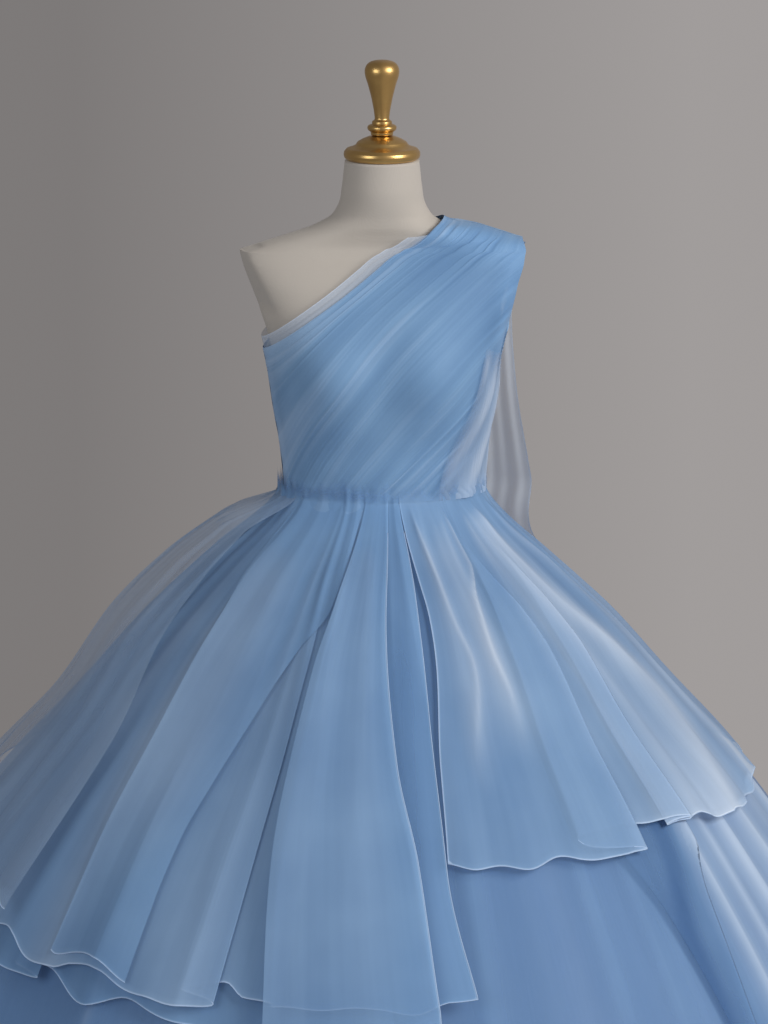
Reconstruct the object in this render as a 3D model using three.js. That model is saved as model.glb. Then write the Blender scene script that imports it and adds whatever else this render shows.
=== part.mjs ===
// A one-shoulder ball gown on a limbless dress form, in millimetres, +Z up.
// The origin is the centre of the stand's underside, on the floor. The front faces -Y.
// The gown is worn by the form: every bodice piece is a thin wall that follows the form's surface, moved out
// along its normal, and every skirt piece is a thin wall round the stand, moved out along its radius.
// Angles go round the body from the front: 0 is the front, +90 the side at +X, 180 the back.
import * as THREE from "three";

// ---- driving dimensions ----
const WAIST_Z = 1075; // waist seam, above the floor
const FLOOR_GAP = 12; // the skirts hang this far clear of the floor
const SEAM_GAP = 0.3; // between pieces that are sewn or set against each other
const CLOTH = 1.5; // wall thickness of a bodice piece
const SHEER = 1.0; // wall thickness of the sheer bands and the veil
const SKIRT_CLOTH = 2.0; // horizontal thickness of a skirt wall, about 1.4 square to the cloth
const LAYER_PITCH_WAIST = 2.9; // from one skirt layer to the next where they are sewn together
const LAYER_PITCH_FULL = 11; // the same lower down, where they stand apart
const FORM_BOTTOM_Z = 862;
const NECK_TOP_Z = 1526.7;
const NECK_TOP_Y = -9; // the neck leans forward by this much
const POLE_R = 14;
const BASE_R = 175;

// The body the gown is cut for, as horizontal sections: half width, half depth, centre, and squareness (2 is
// an ellipse). The form is this body less the gown's ease.
const BODY_SECTIONS = [
  { z: 862, width: 156, depth: 106, y: 6, square: 2.2 },
  { z: 900, width: 164, depth: 111, y: 6, square: 2.2 },
  { z: 960, width: 158, depth: 105, y: 5, square: 2.2 },
  { z: 1020, width: 138, depth: 92, y: 2, square: 2.1 },
  { z: 1075, width: 126, depth: 86, y: 0, square: 2.1 },
  { z: 1130, width: 130, depth: 89, y: -1, square: 2.1 },
  { z: 1190, width: 140, depth: 96, y: -3, square: 2.2 },
  { z: 1250, width: 149, depth: 101, y: -4, square: 2.2 },
  { z: 1300, width: 161, depth: 97, y: -2, square: 2.3 },
  { z: 1350, width: 180, depth: 85, y: 3, square: 2.5 },
  { z: 1385, width: 193, depth: 68, y: 7, square: 2.6 },
  { z: 1404, width: 197, depth: 56, y: 9, square: 2.5 },
  { z: 1414, width: 172, depth: 53, y: 9, square: 2.4 },
  { z: 1426, width: 135, depth: 54, y: 8, square: 2.3 },
  { z: 1440, width: 95, depth: 56, y: 6, square: 2.1 },
  { z: 1456, width: 69, depth: 56, y: 3, square: 2.0 },
  { z: 1480, width: 56, depth: 54, y: -2, square: 2.0 },
  { z: NECK_TOP_Z, width: 50, depth: 50, y: NECK_TOP_Y, square: 2.0 },
];
const BUST = { z: 1243, x: 72, height: 21, wide: 56, tall: 62 };
const EASE = 3.8; // the form is smaller than that body by this much, and by nothing at the waist and neck
// The heights of the form's rows of facets.
const FORM_ROWS = [
  862, 900, 930, 960, 990, 1020, 1048, 1075, 1102, 1130, 1160, 1190, 1220, 1250, 1280, 1315, 1350, 1368,
  1385, 1396, 1404, 1409, 1414, 1420, 1426, 1433, 1440, 1448, 1456, 1468, 1480, 1503, 1526.7,
];

// The innermost skirt layer's half width at each height.
const SKIRT_PROFILE = [
  { z: FLOOR_GAP, r: 820 },
  { z: 100, r: 797 },
  { z: 200, r: 760 },
  { z: 300, r: 714 },
  { z: 400, r: 660 },
  { z: 500, r: 600 },
  { z: 600, r: 533 },
  { z: 700, r: 461 },
  { z: 800, r: 376 },
  { z: 900, r: 292 },
  { z: 950, r: 242 },
  { z: 1000, r: 190 },
  { z: 1040, r: 153 },
  { z: 1062, r: 136 },
  { z: WAIST_Z, r: 128.5 },
];
// How deep the skirt is for its width: at the waist it follows the form, and it is fuller behind.
const SKIRT_DEPTH = [
  { z: 0, front: 0.94, back: 1.08 },
  { z: 900, front: 0.93, back: 1.05 },
  { z: 1000, front: 0.88, back: 0.95 },
  { z: WAIST_Z, front: 0.69, back: 0.69 },
];
// The soft folds that every skirt layer shares: where each stands, how wide it is and how far it stands out.
const SKIRT_FOLDS = [
  { at: -172, wide: 13, out: 27 },
  { at: -146, wide: 12, out: 34 },
  { at: -118, wide: 14, out: 28 },
  { at: -88, wide: 13, out: 32 },
  { at: -58, wide: 12, out: 27 },
  { at: -33, wide: 11, out: 23 },
  { at: -5, wide: 12, out: 30 },
  { at: 24, wide: 12, out: 27 },
  { at: 47, wide: 11, out: 25 },
  { at: 74, wide: 13, out: 30 },
  { at: 103, wide: 12, out: 34 },
  { at: 132, wide: 14, out: 26 },
  { at: 160, wide: 12, out: 32 },
];
const FOLD_TOP_Z = 1030; // the folds grow from nothing here to full depth at the hem

// The overskirt's panels. Each is gathered into the waist between two angles and opens out to two others at its
// hem. Layers count outwards from the lining skirt, hemZ gives the hem's height from one end to the other, and
// puff is how far the panel stands off the layers below it near the waist.
const OVERSKIRT = [
  {
    name: "tier_right", layer: 2, columns: 19, waist: [9, 177.6], hem: [8, 178.6],
    hemZ: [680, 676, 690, 650, 620], puff: 0,
  },
  {
    name: "panel_left_under", layer: 2, columns: 19, waist: [-177.6, -9], hem: [-178.6, 2],
    hemZ: [590, 560, 520, 484], puff: 0,
  },
  {
    name: "panel_left", layer: 3, columns: 17, waist: [-177.6, -7], hem: [-178.6, -12],
    hemZ: [620, 602, 560, 520], puff: 0,
  },
  {
    name: "panel_left_fold", layer: 4, columns: 6, waist: [-51, -10], hem: [-46, -31],
    hemZ: [570, 550, 535], puff: 0,
  },
  {
    name: "panel_left_sheer", layer: 4, columns: 9, waist: [-150, -54], hem: [-148, -52],
    hemZ: [640, 640, 590], puff: 45,
  },
  {
    name: "panel_front_under", layer: 3.9, columns: 5, waist: [-8.5, 9], hem: [-14, 11],
    hemZ: [528, 532, 538], puff: 0,
  },
  {
    name: "panel_front", layer: 4.8, columns: 5, waist: [-8.5, 4], hem: [-14.5, 6.5],
    hemZ: [500, 494, 500], puff: 0,
  },
];
const WAIST_ROWS = [WAIST_Z, 1045, 1000, 940, 870]; // heights where all the layers have a row
const ROWS_BELOW = 3; // rows from there to each layer's own hem

// The bodice, in the front view: where the slanting neckline and the armhole run.
const NECKLINE = { side: { x: -155, z: 1274 }, shoulder: { x: 82, z: 1450 } };
const STRAP_OUTER_X = 187;
const ARMHOLE_FOOT_Z = 1292;
const LINING_OFFSET = 1.6; // from the body to the lining
const LINING_ROWS = [1436, 1420, 1404, 1380, 1350, 1322, 1300, 1286, 1278, 1270, 1240, 1208, 1172, 1120];
const ARMHOLE_LAP = 3;
const BAND_OFFSET = 5.2; // from the body to the sheer band
const DRAPE_OFFSET = 7.8; // from the body to the pleated drape
const PLEAT_DEPTH = 3;
const GATHER_LIFT = 3.4; // the band and the drape stand out this much more where the strap is gathered
const NECK_BAND = { under: 6, over: 19 }; // how far the sheer band runs under and past the drape's edge
const ZIP_WIDTH = 8;

// ---- small maths ----
const DEG = Math.PI / 180;
const mix = (a, b, t) => a + (b - a) * t;
const clamp = (x, lo, hi) => Math.min(hi, Math.max(lo, x));
const smooth = (a, b, x) => {
  const t = clamp((x - a) / (b - a), 0, 1);
  return t * t * (3 - 2 * t);
};

// A smooth function of z through one column of a table, with no overshoot between its rows.
function through(table, name) {
  const zs = table.map((row) => row.z);
  const values = table.map((row) => row[name]);
  const slopes = zs.slice(1).map((z, i) => (values[i + 1] - values[i]) / (z - zs[i]));
  const tangents = zs.map((_, i) => {
    const before = slopes[i - 1];
    const after = slopes[i];
    if (before === undefined || after === undefined || before * after <= 0) return 0;
    return (2 * before * after) / (before + after);
  });
  tangents[0] = slopes[0];
  tangents[zs.length - 1] = slopes[slopes.length - 1];
  return (z) => {
    const q = clamp(z, zs[0], zs[zs.length - 1]);
    let i = 0;
    while (i < slopes.length - 1 && q > zs[i + 1]) i++;
    const step = zs[i + 1] - zs[i];
    const t = (q - zs[i]) / step;
    const rest = 1 - t;
    return (
      values[i] * (1 + 2 * t) * rest * rest +
      values[i + 1] * t * t * (3 - 2 * t) +
      step * t * rest * (tangents[i] * rest - tangents[i + 1] * t)
    );
  };
}

// A smooth function of u from 0 to 1 through values that are evenly spaced.
function along(values) {
  return through(values.map((value, i) => ({ z: i / (values.length - 1), value })), "value");
}

// ---- the body's surface ----
const bodyWidth = through(BODY_SECTIONS, "width");
const bodyDepth = through(BODY_SECTIONS, "depth");
const bodyCentre = through(BODY_SECTIONS, "y");
const bodySquare = through(BODY_SECTIONS, "square");

const SHOULDER_TIP_Z = BODY_SECTIONS.reduce((best, row) => (row.width > best.width ? row : best)).z;

// How far the bust stands out at a place in the front view.
function bust(x, z) {
  const lobe = (centre) => Math.exp(-(((x - centre) / BUST.wide) ** 2));
  return BUST.height * Math.exp(-(((z - BUST.z) / BUST.tall) ** 2)) * (lobe(BUST.x) + lobe(-BUST.x));
}

// The body's surface at an angle and height: a superellipse, with the bust added in front.
function bodyPoint(angle, z) {
  const sine = Math.sin(angle * DEG);
  const cosine = Math.cos(angle * DEG);
  const power = 2 / bodySquare(z);
  const x = bodyWidth(z) * Math.sign(sine) * Math.abs(sine) ** power;
  const y = bodyCentre(z) - bodyDepth(z) * Math.sign(cosine) * Math.abs(cosine) ** power;
  return new THREE.Vector3(x, y - bust(x, z) * smooth(0, 0.5, cosine), z);
}

// The outward normal of that surface, from the points close by.
function bodyNormal(angle, z) {
  const step = 0.6;
  const across = bodyPoint(angle + step, z).sub(bodyPoint(angle - step, z));
  const up = bodyPoint(angle, z + step).sub(bodyPoint(angle, z - step));
  return across.cross(up).normalize();
}

// The angle of a place in the front view, on the front (side -1) or the back (side 1). On the back it goes
// through 180 at the centre, from 90 to 270.
function angleAt(x, z, side) {
  const share = clamp(Math.abs(x) / bodyWidth(z), 0, 1);
  const turn = (Math.sign(x) * Math.asin(share ** (bodySquare(z) / 2))) / DEG;
  return side < 0 ? turn : 180 - turn;
}

// A point that lies off the body by a distance, kept a half seam's width on its own side of the side seam.
function offBody(angle, z, distance, side) {
  const point = bodyPoint(angle, z).addScaledVector(bodyNormal(angle, z), distance);
  if (side !== 0) {
    const seam = bodyCentre(z) + side * SEAM_GAP;
    point.y = side < 0 ? Math.min(point.y, seam) : Math.max(point.y, seam);
  }
  return point;
}

// How much smaller than the body the form is at a height.
const ease = (z) => EASE * smooth(1085, 1135, z) * smooth(1490, 1450, z);

// The height of the shoulder's ridge over a place across the body.
function ridgeAt(x) {
  let low = SHOULDER_TIP_Z;
  let high = 1480;
  while (high - low > 0.01) {
    const z = (low + high) / 2;
    if (bodyWidth(z) > Math.abs(x)) low = z;
    else high = z;
  }
  return low;
}

// ---- turning a grid into a closed wall ----
// inner and outer give the wall's two faces at u across and v down, both from 0 to 1. A closed wall goes all
// the way round.
function wall(columns, rows, inner, outer, closed = false) {
  const count = closed ? columns : columns + 1;
  const size = count * (rows + 1);
  const positions = [];
  for (const face of [outer, inner])
    for (let i = 0; i < count; i++)
      for (let j = 0; j <= rows; j++) positions.push(...face(i / columns, j / rows, j).toArray());
  const at = (i, j) => (i % count) * (rows + 1) + j;
  const triangles = [];
  const quad = (a, b, c, d) => triangles.push(a, b, c, a, c, d);
  for (let i = 0; i < columns; i++)
    for (let j = 0; j < rows; j++) {
      const [a, b, c, d] = [at(i, j), at(i, j + 1), at(i + 1, j + 1), at(i + 1, j)];
      quad(a, b, c, d);
      quad(a + size, d + size, c + size, b + size);
    }
  const rim = (p, q) => quad(q, p, p + size, q + size);
  for (let i = 0; i < columns; i++) {
    rim(at(i + 1, 0), at(i, 0));
    rim(at(i, rows), at(i + 1, rows));
  }
  if (!closed)
    for (let j = 0; j < rows; j++) {
      rim(at(0, j), at(0, j + 1));
      rim(at(columns, j + 1), at(columns, j));
    }
  return new THREE.BufferGeometry()
    .setAttribute("position", new THREE.BufferAttribute(new Float32Array(positions), 3))
    .setIndex(triangles);
}

const gown = new THREE.Group();

function addNode(name, geometry, material) {
  const mesh = new THREE.Mesh(geometry, material);
  mesh.name = name;
  gown.add(mesh);
  return mesh;
}

// ---- materials ----
const finish = (color, roughness, metalness = 0, opacity = 1) =>
  new THREE.MeshStandardMaterial({ color, roughness, metalness, opacity, transparent: opacity < 1 });
const LINEN = finish(0xe2dcd2, 0.85);
const GOLD = finish(0xb98a3c, 0.32, 1);
const STEEL = finish(0xb98a3c, 0.4, 1);
const SATIN = finish(0x86a7cf, 0.5);
const ORGANZA = finish(0x93b4da, 0.6, 0, 0.6);
const TULLE = finish(0xb4c6dc, 0.7, 0, 0.35);
const ZIP = finish(0x7b9cc6, 0.5);

// ---- the dress form ----
// A padded torso from the hip to the neck, closed flat at both ends.
function makeForm() {
  const columns = 48;
  const rows = FORM_ROWS.length - 1;
  const heights = [...FORM_ROWS].reverse();
  const positions = [];
  for (let i = 0; i < columns; i++)
    for (const z of heights) positions.push(...offBody((i / columns) * 360, z, -ease(z), 0).toArray());
  const top = positions.length / 3;
  positions.push(0, bodyCentre(NECK_TOP_Z), NECK_TOP_Z, 0, bodyCentre(FORM_BOTTOM_Z), FORM_BOTTOM_Z);
  const at = (i, j) => (i % columns) * (rows + 1) + j;
  const triangles = [];
  for (let i = 0; i < columns; i++) {
    triangles.push(top, at(i, 0), at(i + 1, 0), top + 1, at(i + 1, rows), at(i, rows));
    for (let j = 0; j < rows; j++)
      triangles.push(at(i, j), at(i, j + 1), at(i + 1, j + 1), at(i, j), at(i + 1, j + 1), at(i + 1, j));
  }
  return new THREE.BufferGeometry()
    .setAttribute("position", new THREE.BufferAttribute(new Float32Array(positions), 3))
    .setIndex(triangles);
}

// A turned piece about the vertical through (0, y), from its profile of radius and height.
function turned(profile, segments, y) {
  const points = profile.map(([radius, z]) => new THREE.Vector2(radius, z));
  return new THREE.LatheGeometry(points, segments).rotateX(Math.PI / 2).translate(0, y, 0);
}

// The stretch of a circle from one angle to another, as profile points about a centre.
function arc(centreR, centreZ, radius, from, to, steps) {
  return Array.from({ length: steps + 1 }, (_, i) => {
    const angle = mix(from, to, i / steps) * DEG;
    return [centreR + radius * Math.cos(angle), centreZ + radius * Math.sin(angle)];
  });
}

// The cap on the neck: a disc with a rounded lip, a step and a low dome up to the handle's seat.
const CAP_Z = NECK_TOP_Z + SEAM_GAP;
const CAP_TOP_Z = CAP_Z + 33;
const CAP_PROFILE = [
  [0, CAP_Z],
  [43, CAP_Z],
  ...arc(43, CAP_Z + 8.5, 8.5, -90, 60, 6),
  [36, CAP_Z + 20.5],
  [34.5, CAP_Z + 22.5],
  [33, CAP_Z + 25],
  [26, CAP_Z + 28.5],
  [17, CAP_TOP_Z],
  [0, CAP_TOP_Z],
];
// The turned handle that stands on it: collar, waist and pear-shaped grip.
const HANDLE_Z = CAP_TOP_Z + SEAM_GAP;
const HANDLE_PROFILE = [
  [0, HANDLE_Z],
  [15, HANDLE_Z],
  [15.5, HANDLE_Z + 6],
  ...arc(15.5, HANDLE_Z + 10.5, 4.5, -90, 90, 4),
  [13.5, HANDLE_Z + 15.5],
  [13.5, HANDLE_Z + 19],
  [9.5, HANDLE_Z + 21],
  [11, HANDLE_Z + 34],
  [14.5, HANDLE_Z + 52],
  [19, HANDLE_Z + 69],
  [22.6, HANDLE_Z + 80],
  [23.4, HANDLE_Z + 86],
  [22, HANDLE_Z + 94],
  [16, HANDLE_Z + 99.5],
  [0, HANDLE_Z + 101.5],
];
// The stand: a weighted disc, a plain pole and the socket under the torso.
const BASE_TOP_Z = 24;
const SOCKET = { r: 27, height: 30 };
const SOCKET_Z = FORM_BOTTOM_Z - SEAM_GAP - SOCKET.height;
const BASE_PROFILE = [
  [0, 0],
  [BASE_R - 3, 0],
  [BASE_R, 3],
  [BASE_R, 7],
  [BASE_R - 4, 11],
  [60, 15],
  [30, 19],
  [26, BASE_TOP_Z],
  [0, BASE_TOP_Z],
];
const POLE_PROFILE = [
  [0, BASE_TOP_Z + SEAM_GAP],
  [POLE_R, BASE_TOP_Z + SEAM_GAP],
  [POLE_R, SOCKET_Z - SEAM_GAP],
  [0, SOCKET_Z - SEAM_GAP],
];
const SOCKET_PROFILE = [
  [0, SOCKET_Z],
  [POLE_R + 5, SOCKET_Z],
  [SOCKET.r, SOCKET_Z + 8],
  [SOCKET.r, SOCKET_Z + SOCKET.height],
  [0, SOCKET_Z + SOCKET.height],
];

addNode("form_torso", makeForm(), LINEN);
addNode("form_cap", turned(CAP_PROFILE, 36, NECK_TOP_Y), GOLD);
addNode("form_handle", turned(HANDLE_PROFILE, 28, NECK_TOP_Y), GOLD);
addNode("stand_base", turned(BASE_PROFILE, 48, 0), STEEL);
addNode("stand_pole", turned(POLE_PROFILE, 24, 0), STEEL);
addNode("stand_socket", turned(SOCKET_PROFILE, 32, 0), STEEL);

// ---- the bodice ----
// Places in the front view along the edges of the bodice; t runs from 0 to 1 along each.
const SHOULDER_Z = ridgeAt(NECKLINE.shoulder.x);
const NECKLINE_SLOPE = (SHOULDER_Z - NECKLINE.side.z) / (NECKLINE.shoulder.x - NECKLINE.side.x);
const BODICE_FOOT_Z = WAIST_Z + 2 * SEAM_GAP;
const necklineX = (z) => NECKLINE.side.x + (z - NECKLINE.side.z) / NECKLINE_SLOPE;
const necklineZ = (x) => NECKLINE.side.z + (x - NECKLINE.side.x) * NECKLINE_SLOPE;
const necklineAt = (t) => {
  const x = mix(NECKLINE.side.x, NECKLINE.shoulder.x, t);
  return { x, z: necklineZ(x) };
};
const shoulderAt = (t) => {
  const x = mix(NECKLINE.shoulder.x, STRAP_OUTER_X, t);
  return { x, z: ridgeAt(x) };
};
const armholeX = (z) => {
  const t = clamp((ridgeAt(STRAP_OUTER_X) - z) / (ridgeAt(STRAP_OUTER_X) - ARMHOLE_FOOT_Z), 0, 1);
  return mix(STRAP_OUTER_X, bodyWidth(ARMHOLE_FOOT_Z), t) - 9 * Math.sin(Math.PI * t);
};
const armholeAt = (t) => {
  const z = mix(ridgeAt(STRAP_OUTER_X), ARMHOLE_FOOT_Z, t);
  return { x: armholeX(z), z };
};
const sideSeamAt = (z, direction) => ({ x: direction * bodyWidth(z), z });

// At a height, the bodice's two edges as angles: the far side seam or the neckline, and the near side seam, the
// armhole or the shoulder seam. The drape laps over the lining's armhole edge.
const farEdge = (z, side) => angleAt(Math.max(-bodyWidth(z), necklineX(z)), z, side);
const nearEdge = (z, side) => {
  const within = z < ARMHOLE_FOOT_Z || z > ridgeAt(STRAP_OUTER_X);
  return angleAt(within ? bodyWidth(z) : Math.min(armholeX(z) - ARMHOLE_LAP, bodyWidth(z)), z, side);
};

const gatherLift = (z) => GATHER_LIFT * smooth(1362, 1390, z);

// A wall between two edges that are angles at each height; u always runs the same way round the body.
function slicedWall(side, heights, columns, edges, offset, thickness, lift = () => 0) {
  const face = (distance) => (u, v, j) => {
    const [from, to] = edges(heights[j]);
    return offBody(mix(from, to, side < 0 ? u : 1 - u), heights[j], distance + lift(heights[j]), side);
  };
  return wall(columns, heights.length - 1, face(offset), face(offset + thickness));
}

// The lining panels: one in front, and one each side of the zip behind.
const BACK_EDGE = ZIP_WIDTH / 2 + SEAM_GAP;
const BACK_NECK_Z = necklineZ(-BACK_EDGE);
const liningHeights = (top) => [top, ...LINING_ROWS.filter((z) => z < top - 6), BODICE_FOOT_Z];
const frontEdges = (z) => [farEdge(z, -1), nearEdge(z, -1)];
const backLeftEdges = (z) => [farEdge(z, 1), angleAt(-BACK_EDGE, z, 1)];
const backRightEdges = (z) => [angleAt(Math.max(BACK_EDGE, necklineX(z)), z, 1), nearEdge(z, 1)];
const lining = (side, top, columns, edges) =>
  slicedWall(side, liningHeights(top), columns, edges, LINING_OFFSET, CLOTH);
addNode("bodice_front", lining(-1, SHOULDER_Z - 2, 14, frontEdges), SATIN);
addNode("bodice_back_left", lining(1, BACK_NECK_Z - 4, 8, backLeftEdges), SATIN);
addNode("bodice_back_right", lining(1, SHOULDER_Z - 2, 8, backRightEdges), SATIN);

// The zip down the centre back, its tape's top just under the neckline.
const ZIP_TOP_Z = BACK_NECK_Z - 6;
const zipHeights = [ZIP_TOP_Z, ...LINING_ROWS.filter((z) => z < ZIP_TOP_Z - 6), BODICE_FOOT_Z];
const zipEdges = (z) => [angleAt(-ZIP_WIDTH / 2, z, 1), angleAt(ZIP_WIDTH / 2, z, 1)];
const zipWall = slicedWall(1, zipHeights, 1, zipEdges, LINING_OFFSET, CLOTH);
addNode("back_zip", zipWall, ZIP);

// The sheer band that shows past the slanting neckline, on the front or the back.
function neckBand(name, side) {
  const low = necklineZ(-bodyWidth(NECKLINE.side.z)) - NECK_BAND.under + 6;
  const high = SHOULDER_Z - 16;
  const downTo = (i) => (1 - Math.cos((Math.PI * i) / 12)) / 2;
  const heights = Array.from({ length: 13 }, (_, i) => mix(high, low, downTo(i)));
  const edges = (z) => [
    angleAt(Math.max(-bodyWidth(z), necklineX(z - NECK_BAND.over)), z, side),
    angleAt(Math.min(bodyWidth(z), necklineX(z + NECK_BAND.under)), z, side),
  ];
  addNode(name, slicedWall(side, heights, 3, edges, BAND_OFFSET, SHEER, gatherLift), TULLE);
}
neckBand("neck_band_front", -1);
neckBand("neck_band_back", 1);

// A knife pleat's height across its width, from 0 to 1: a quick rise and a slow fall.
function pleat(u, count) {
  const phase = (u * count) % 1;
  return phase < 1 / 3 ? 3 * phase : 1.5 * (1 - phase);
}

// A pleated drape: each pleat runs from a place on its start edge to one on its end edge, in the front view.
// Its rows are closer together at both ends, where the body curves away.
function drape(name, side, pleats, rows, startAt, endAt) {
  const face = (distance) => (u, v) => {
    const across = side < 0 ? u : 1 - u;
    const start = startAt(across);
    const end = endAt(across);
    const down = (1 - Math.cos(Math.PI * v)) / 2;
    const z = mix(start.z, end.z, down);
    const relief = PLEAT_DEPTH * pleat(across, pleats) + gatherLift(z) + 2 * smooth(1405, 1430, z);
    return offBody(angleAt(mix(start.x, end.x, down), z, side), z, distance + relief, side);
  };
  addNode(name, wall(pleats * 3, rows, face(DRAPE_OFFSET), face(DRAPE_OFFSET + SHEER)), ORGANZA);
}

// The front drape: from the strap, armhole and near side seam slantwise to the far side seam and the waist.
const FRONT_SHARES = { strap: 11 / 21, armhole: 16 / 21, farSide: 8 / 21 }; // of its 21 columns
function frontDrapeStart(u) {
  const { strap, armhole } = FRONT_SHARES;
  if (u < strap) return shoulderAt(u / strap);
  if (u < armhole) return armholeAt((u - strap) / (armhole - strap));
  return sideSeamAt(mix(ARMHOLE_FOOT_Z, 1165, (u - armhole) / (1 - armhole)), 1);
}
function frontDrapeEnd(u) {
  const { farSide } = FRONT_SHARES;
  if (u < farSide) return sideSeamAt(mix(NECKLINE.side.z, BODICE_FOOT_Z, u / farSide), -1);
  const turn = mix(-90, 60, (u - farSide) / (1 - farSide));
  return { x: Math.sin(turn * DEG) * bodyWidth(WAIST_Z), z: BODICE_FOOT_Z };
}
drape("drape_front", -1, 7, 12, frontDrapeStart, frontDrapeEnd);

// The back drapes: one each side of the zip, from the strap and the neckline down to the waist.
const DRAPE_EDGE = ZIP_WIDTH / 2 + 5;
const backWaistAt = (t) => {
  const x = mix(DRAPE_EDGE, bodyWidth(WAIST_Z), Math.sin(t * 90 * DEG));
  return { x, z: BODICE_FOOT_Z };
};
const necklineShare = (x) => (x - NECKLINE.side.x) / (NECKLINE.shoulder.x - NECKLINE.side.x);
function rightDrapeStart(u) {
  if (u * 3 < 1) return necklineAt(mix(necklineShare(DRAPE_EDGE), 1, (u * 3) ** 0.6));
  if (u * 3 < 2) return shoulderAt(u * 3 - 1);
  return armholeAt(u * 3 - 2);
}
const leftDrapeStart = (u) => necklineAt(Math.sin(u * 90 * DEG) ** 2 * necklineShare(-DRAPE_EDGE));
const leftDrapeEnd = (u) => {
  const mirrored = backWaistAt(1 - u);
  return { x: -mirrored.x, z: mirrored.z };
};
drape("drape_back_right", 1, 4, 10, rightDrapeStart, backWaistAt);
drape("drape_back_left", 1, 3, 8, leftDrapeStart, leftDrapeEnd);

// The side drape laid over the near side seam, from the armhole down to the waist tuck.
const SIDE_DRAPE = { top: 1280, front: [58, 35], back: [104, 112], columns: 8, rows: 7 };
function makeSideDrape() {
  const face = (distance) => (u, v) => {
    const angle = mix(mix(...SIDE_DRAPE.front, v), mix(...SIDE_DRAPE.back, v), u);
    const z = mix(SIDE_DRAPE.top - 10 * Math.sin(Math.PI * u), BODICE_FOOT_Z, v);
    return offBody(angle, z, distance + 1.6 * pleat(u + 0.4 * v, 3), 0);
  };
  const offset = DRAPE_OFFSET + SHEER + PLEAT_DEPTH + 0.7;
  return wall(SIDE_DRAPE.columns, SIDE_DRAPE.rows, face(offset), face(offset + SHEER));
}
addNode("drape_side", makeSideDrape(), ORGANZA);

// ---- the skirt ----
const skirtRadius = through(SKIRT_PROFILE, "r");
const skirtFront = through(SKIRT_DEPTH, "front");
const skirtBack = through(SKIRT_DEPTH, "back");

// How far the shared folds stand out at an angle and height.
function folds(angle, z) {
  const grown = smooth(FOLD_TOP_Z, 250, z);
  const out = SKIRT_FOLDS.reduce((sum, fold) => {
    const away = (((angle - fold.at + 540) % 360) - 180) / fold.wide;
    return sum + fold.out * Math.exp(-away * away);
  }, 0);
  return out * grown;
}

// How far a layer lies outside the innermost one.
function layerOffset(layer, z) {
  return layer * mix(LAYER_PITCH_WAIST, LAYER_PITCH_FULL, smooth(WAIST_Z, 985, z));
}

// A point on a skirt layer, moved out along the horizontal by more if asked.
function skirtPoint(angle, z, layer, more = 0) {
  const sine = Math.sin(angle * DEG);
  const cosine = Math.cos(angle * DEG);
  const radius = skirtRadius(z);
  const depth = cosine > 0 ? skirtFront(z) : skirtBack(z);
  const x = radius * sine;
  const y = -radius * depth * cosine;
  const grow = 1 + (folds(angle, z) + layerOffset(layer, z) + more) / Math.hypot(x, y);
  return new THREE.Vector3(x * grow, y * grow, z);
}

// The height of row j of a layer whose hem is at hemZ.
function rowHeight(j, hemZ) {
  if (j < WAIST_ROWS.length) return WAIST_ROWS[j];
  const share = (j - WAIST_ROWS.length + 1) / ROWS_BELOW;
  return mix(WAIST_ROWS[WAIST_ROWS.length - 1], hemZ, share);
}
const SKIRT_ROWS = WAIST_ROWS.length - 1 + ROWS_BELOW;

// A skirt that goes all the way round.
function roundSkirt(name, layer, hemZ, columns, material) {
  const face = (more) => (u, v, j) => skirtPoint(mix(-180, 180, u), rowHeight(j, hemZ), layer, more);
  addNode(name, wall(columns, SKIRT_ROWS, face(0), face(SKIRT_CLOTH), true), material);
}
roundSkirt("skirt_lining", 0, FLOOR_GAP, 39, SATIN);
roundSkirt("skirt_organza", 1, FLOOR_GAP + 10, 39, ORGANZA);

// One panel of the overskirt, from its row in the table.
function overskirtPanel({ name, layer, waist, hem, hemZ, columns, puff }) {
  const hemHeight = along(hemZ);
  const face = (more) => (u, v, j) => {
    const z = rowHeight(j, hemHeight(u));
    const opened = smooth(WAIST_Z, 800, z);
    const angle = mix(mix(waist[0], hem[0], opened), mix(waist[1], hem[1], opened), u);
    const stands = puff * smooth(WAIST_Z, 1035, z) * mix(1, 0.4, smooth(960, 780, z));
    return skirtPoint(angle, z, layer, more + stands);
  };
  addNode(name, wall(columns, SKIRT_ROWS, face(0), face(SKIRT_CLOTH)), ORGANZA);
}
OVERSKIRT.forEach(overskirtPanel);

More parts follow.
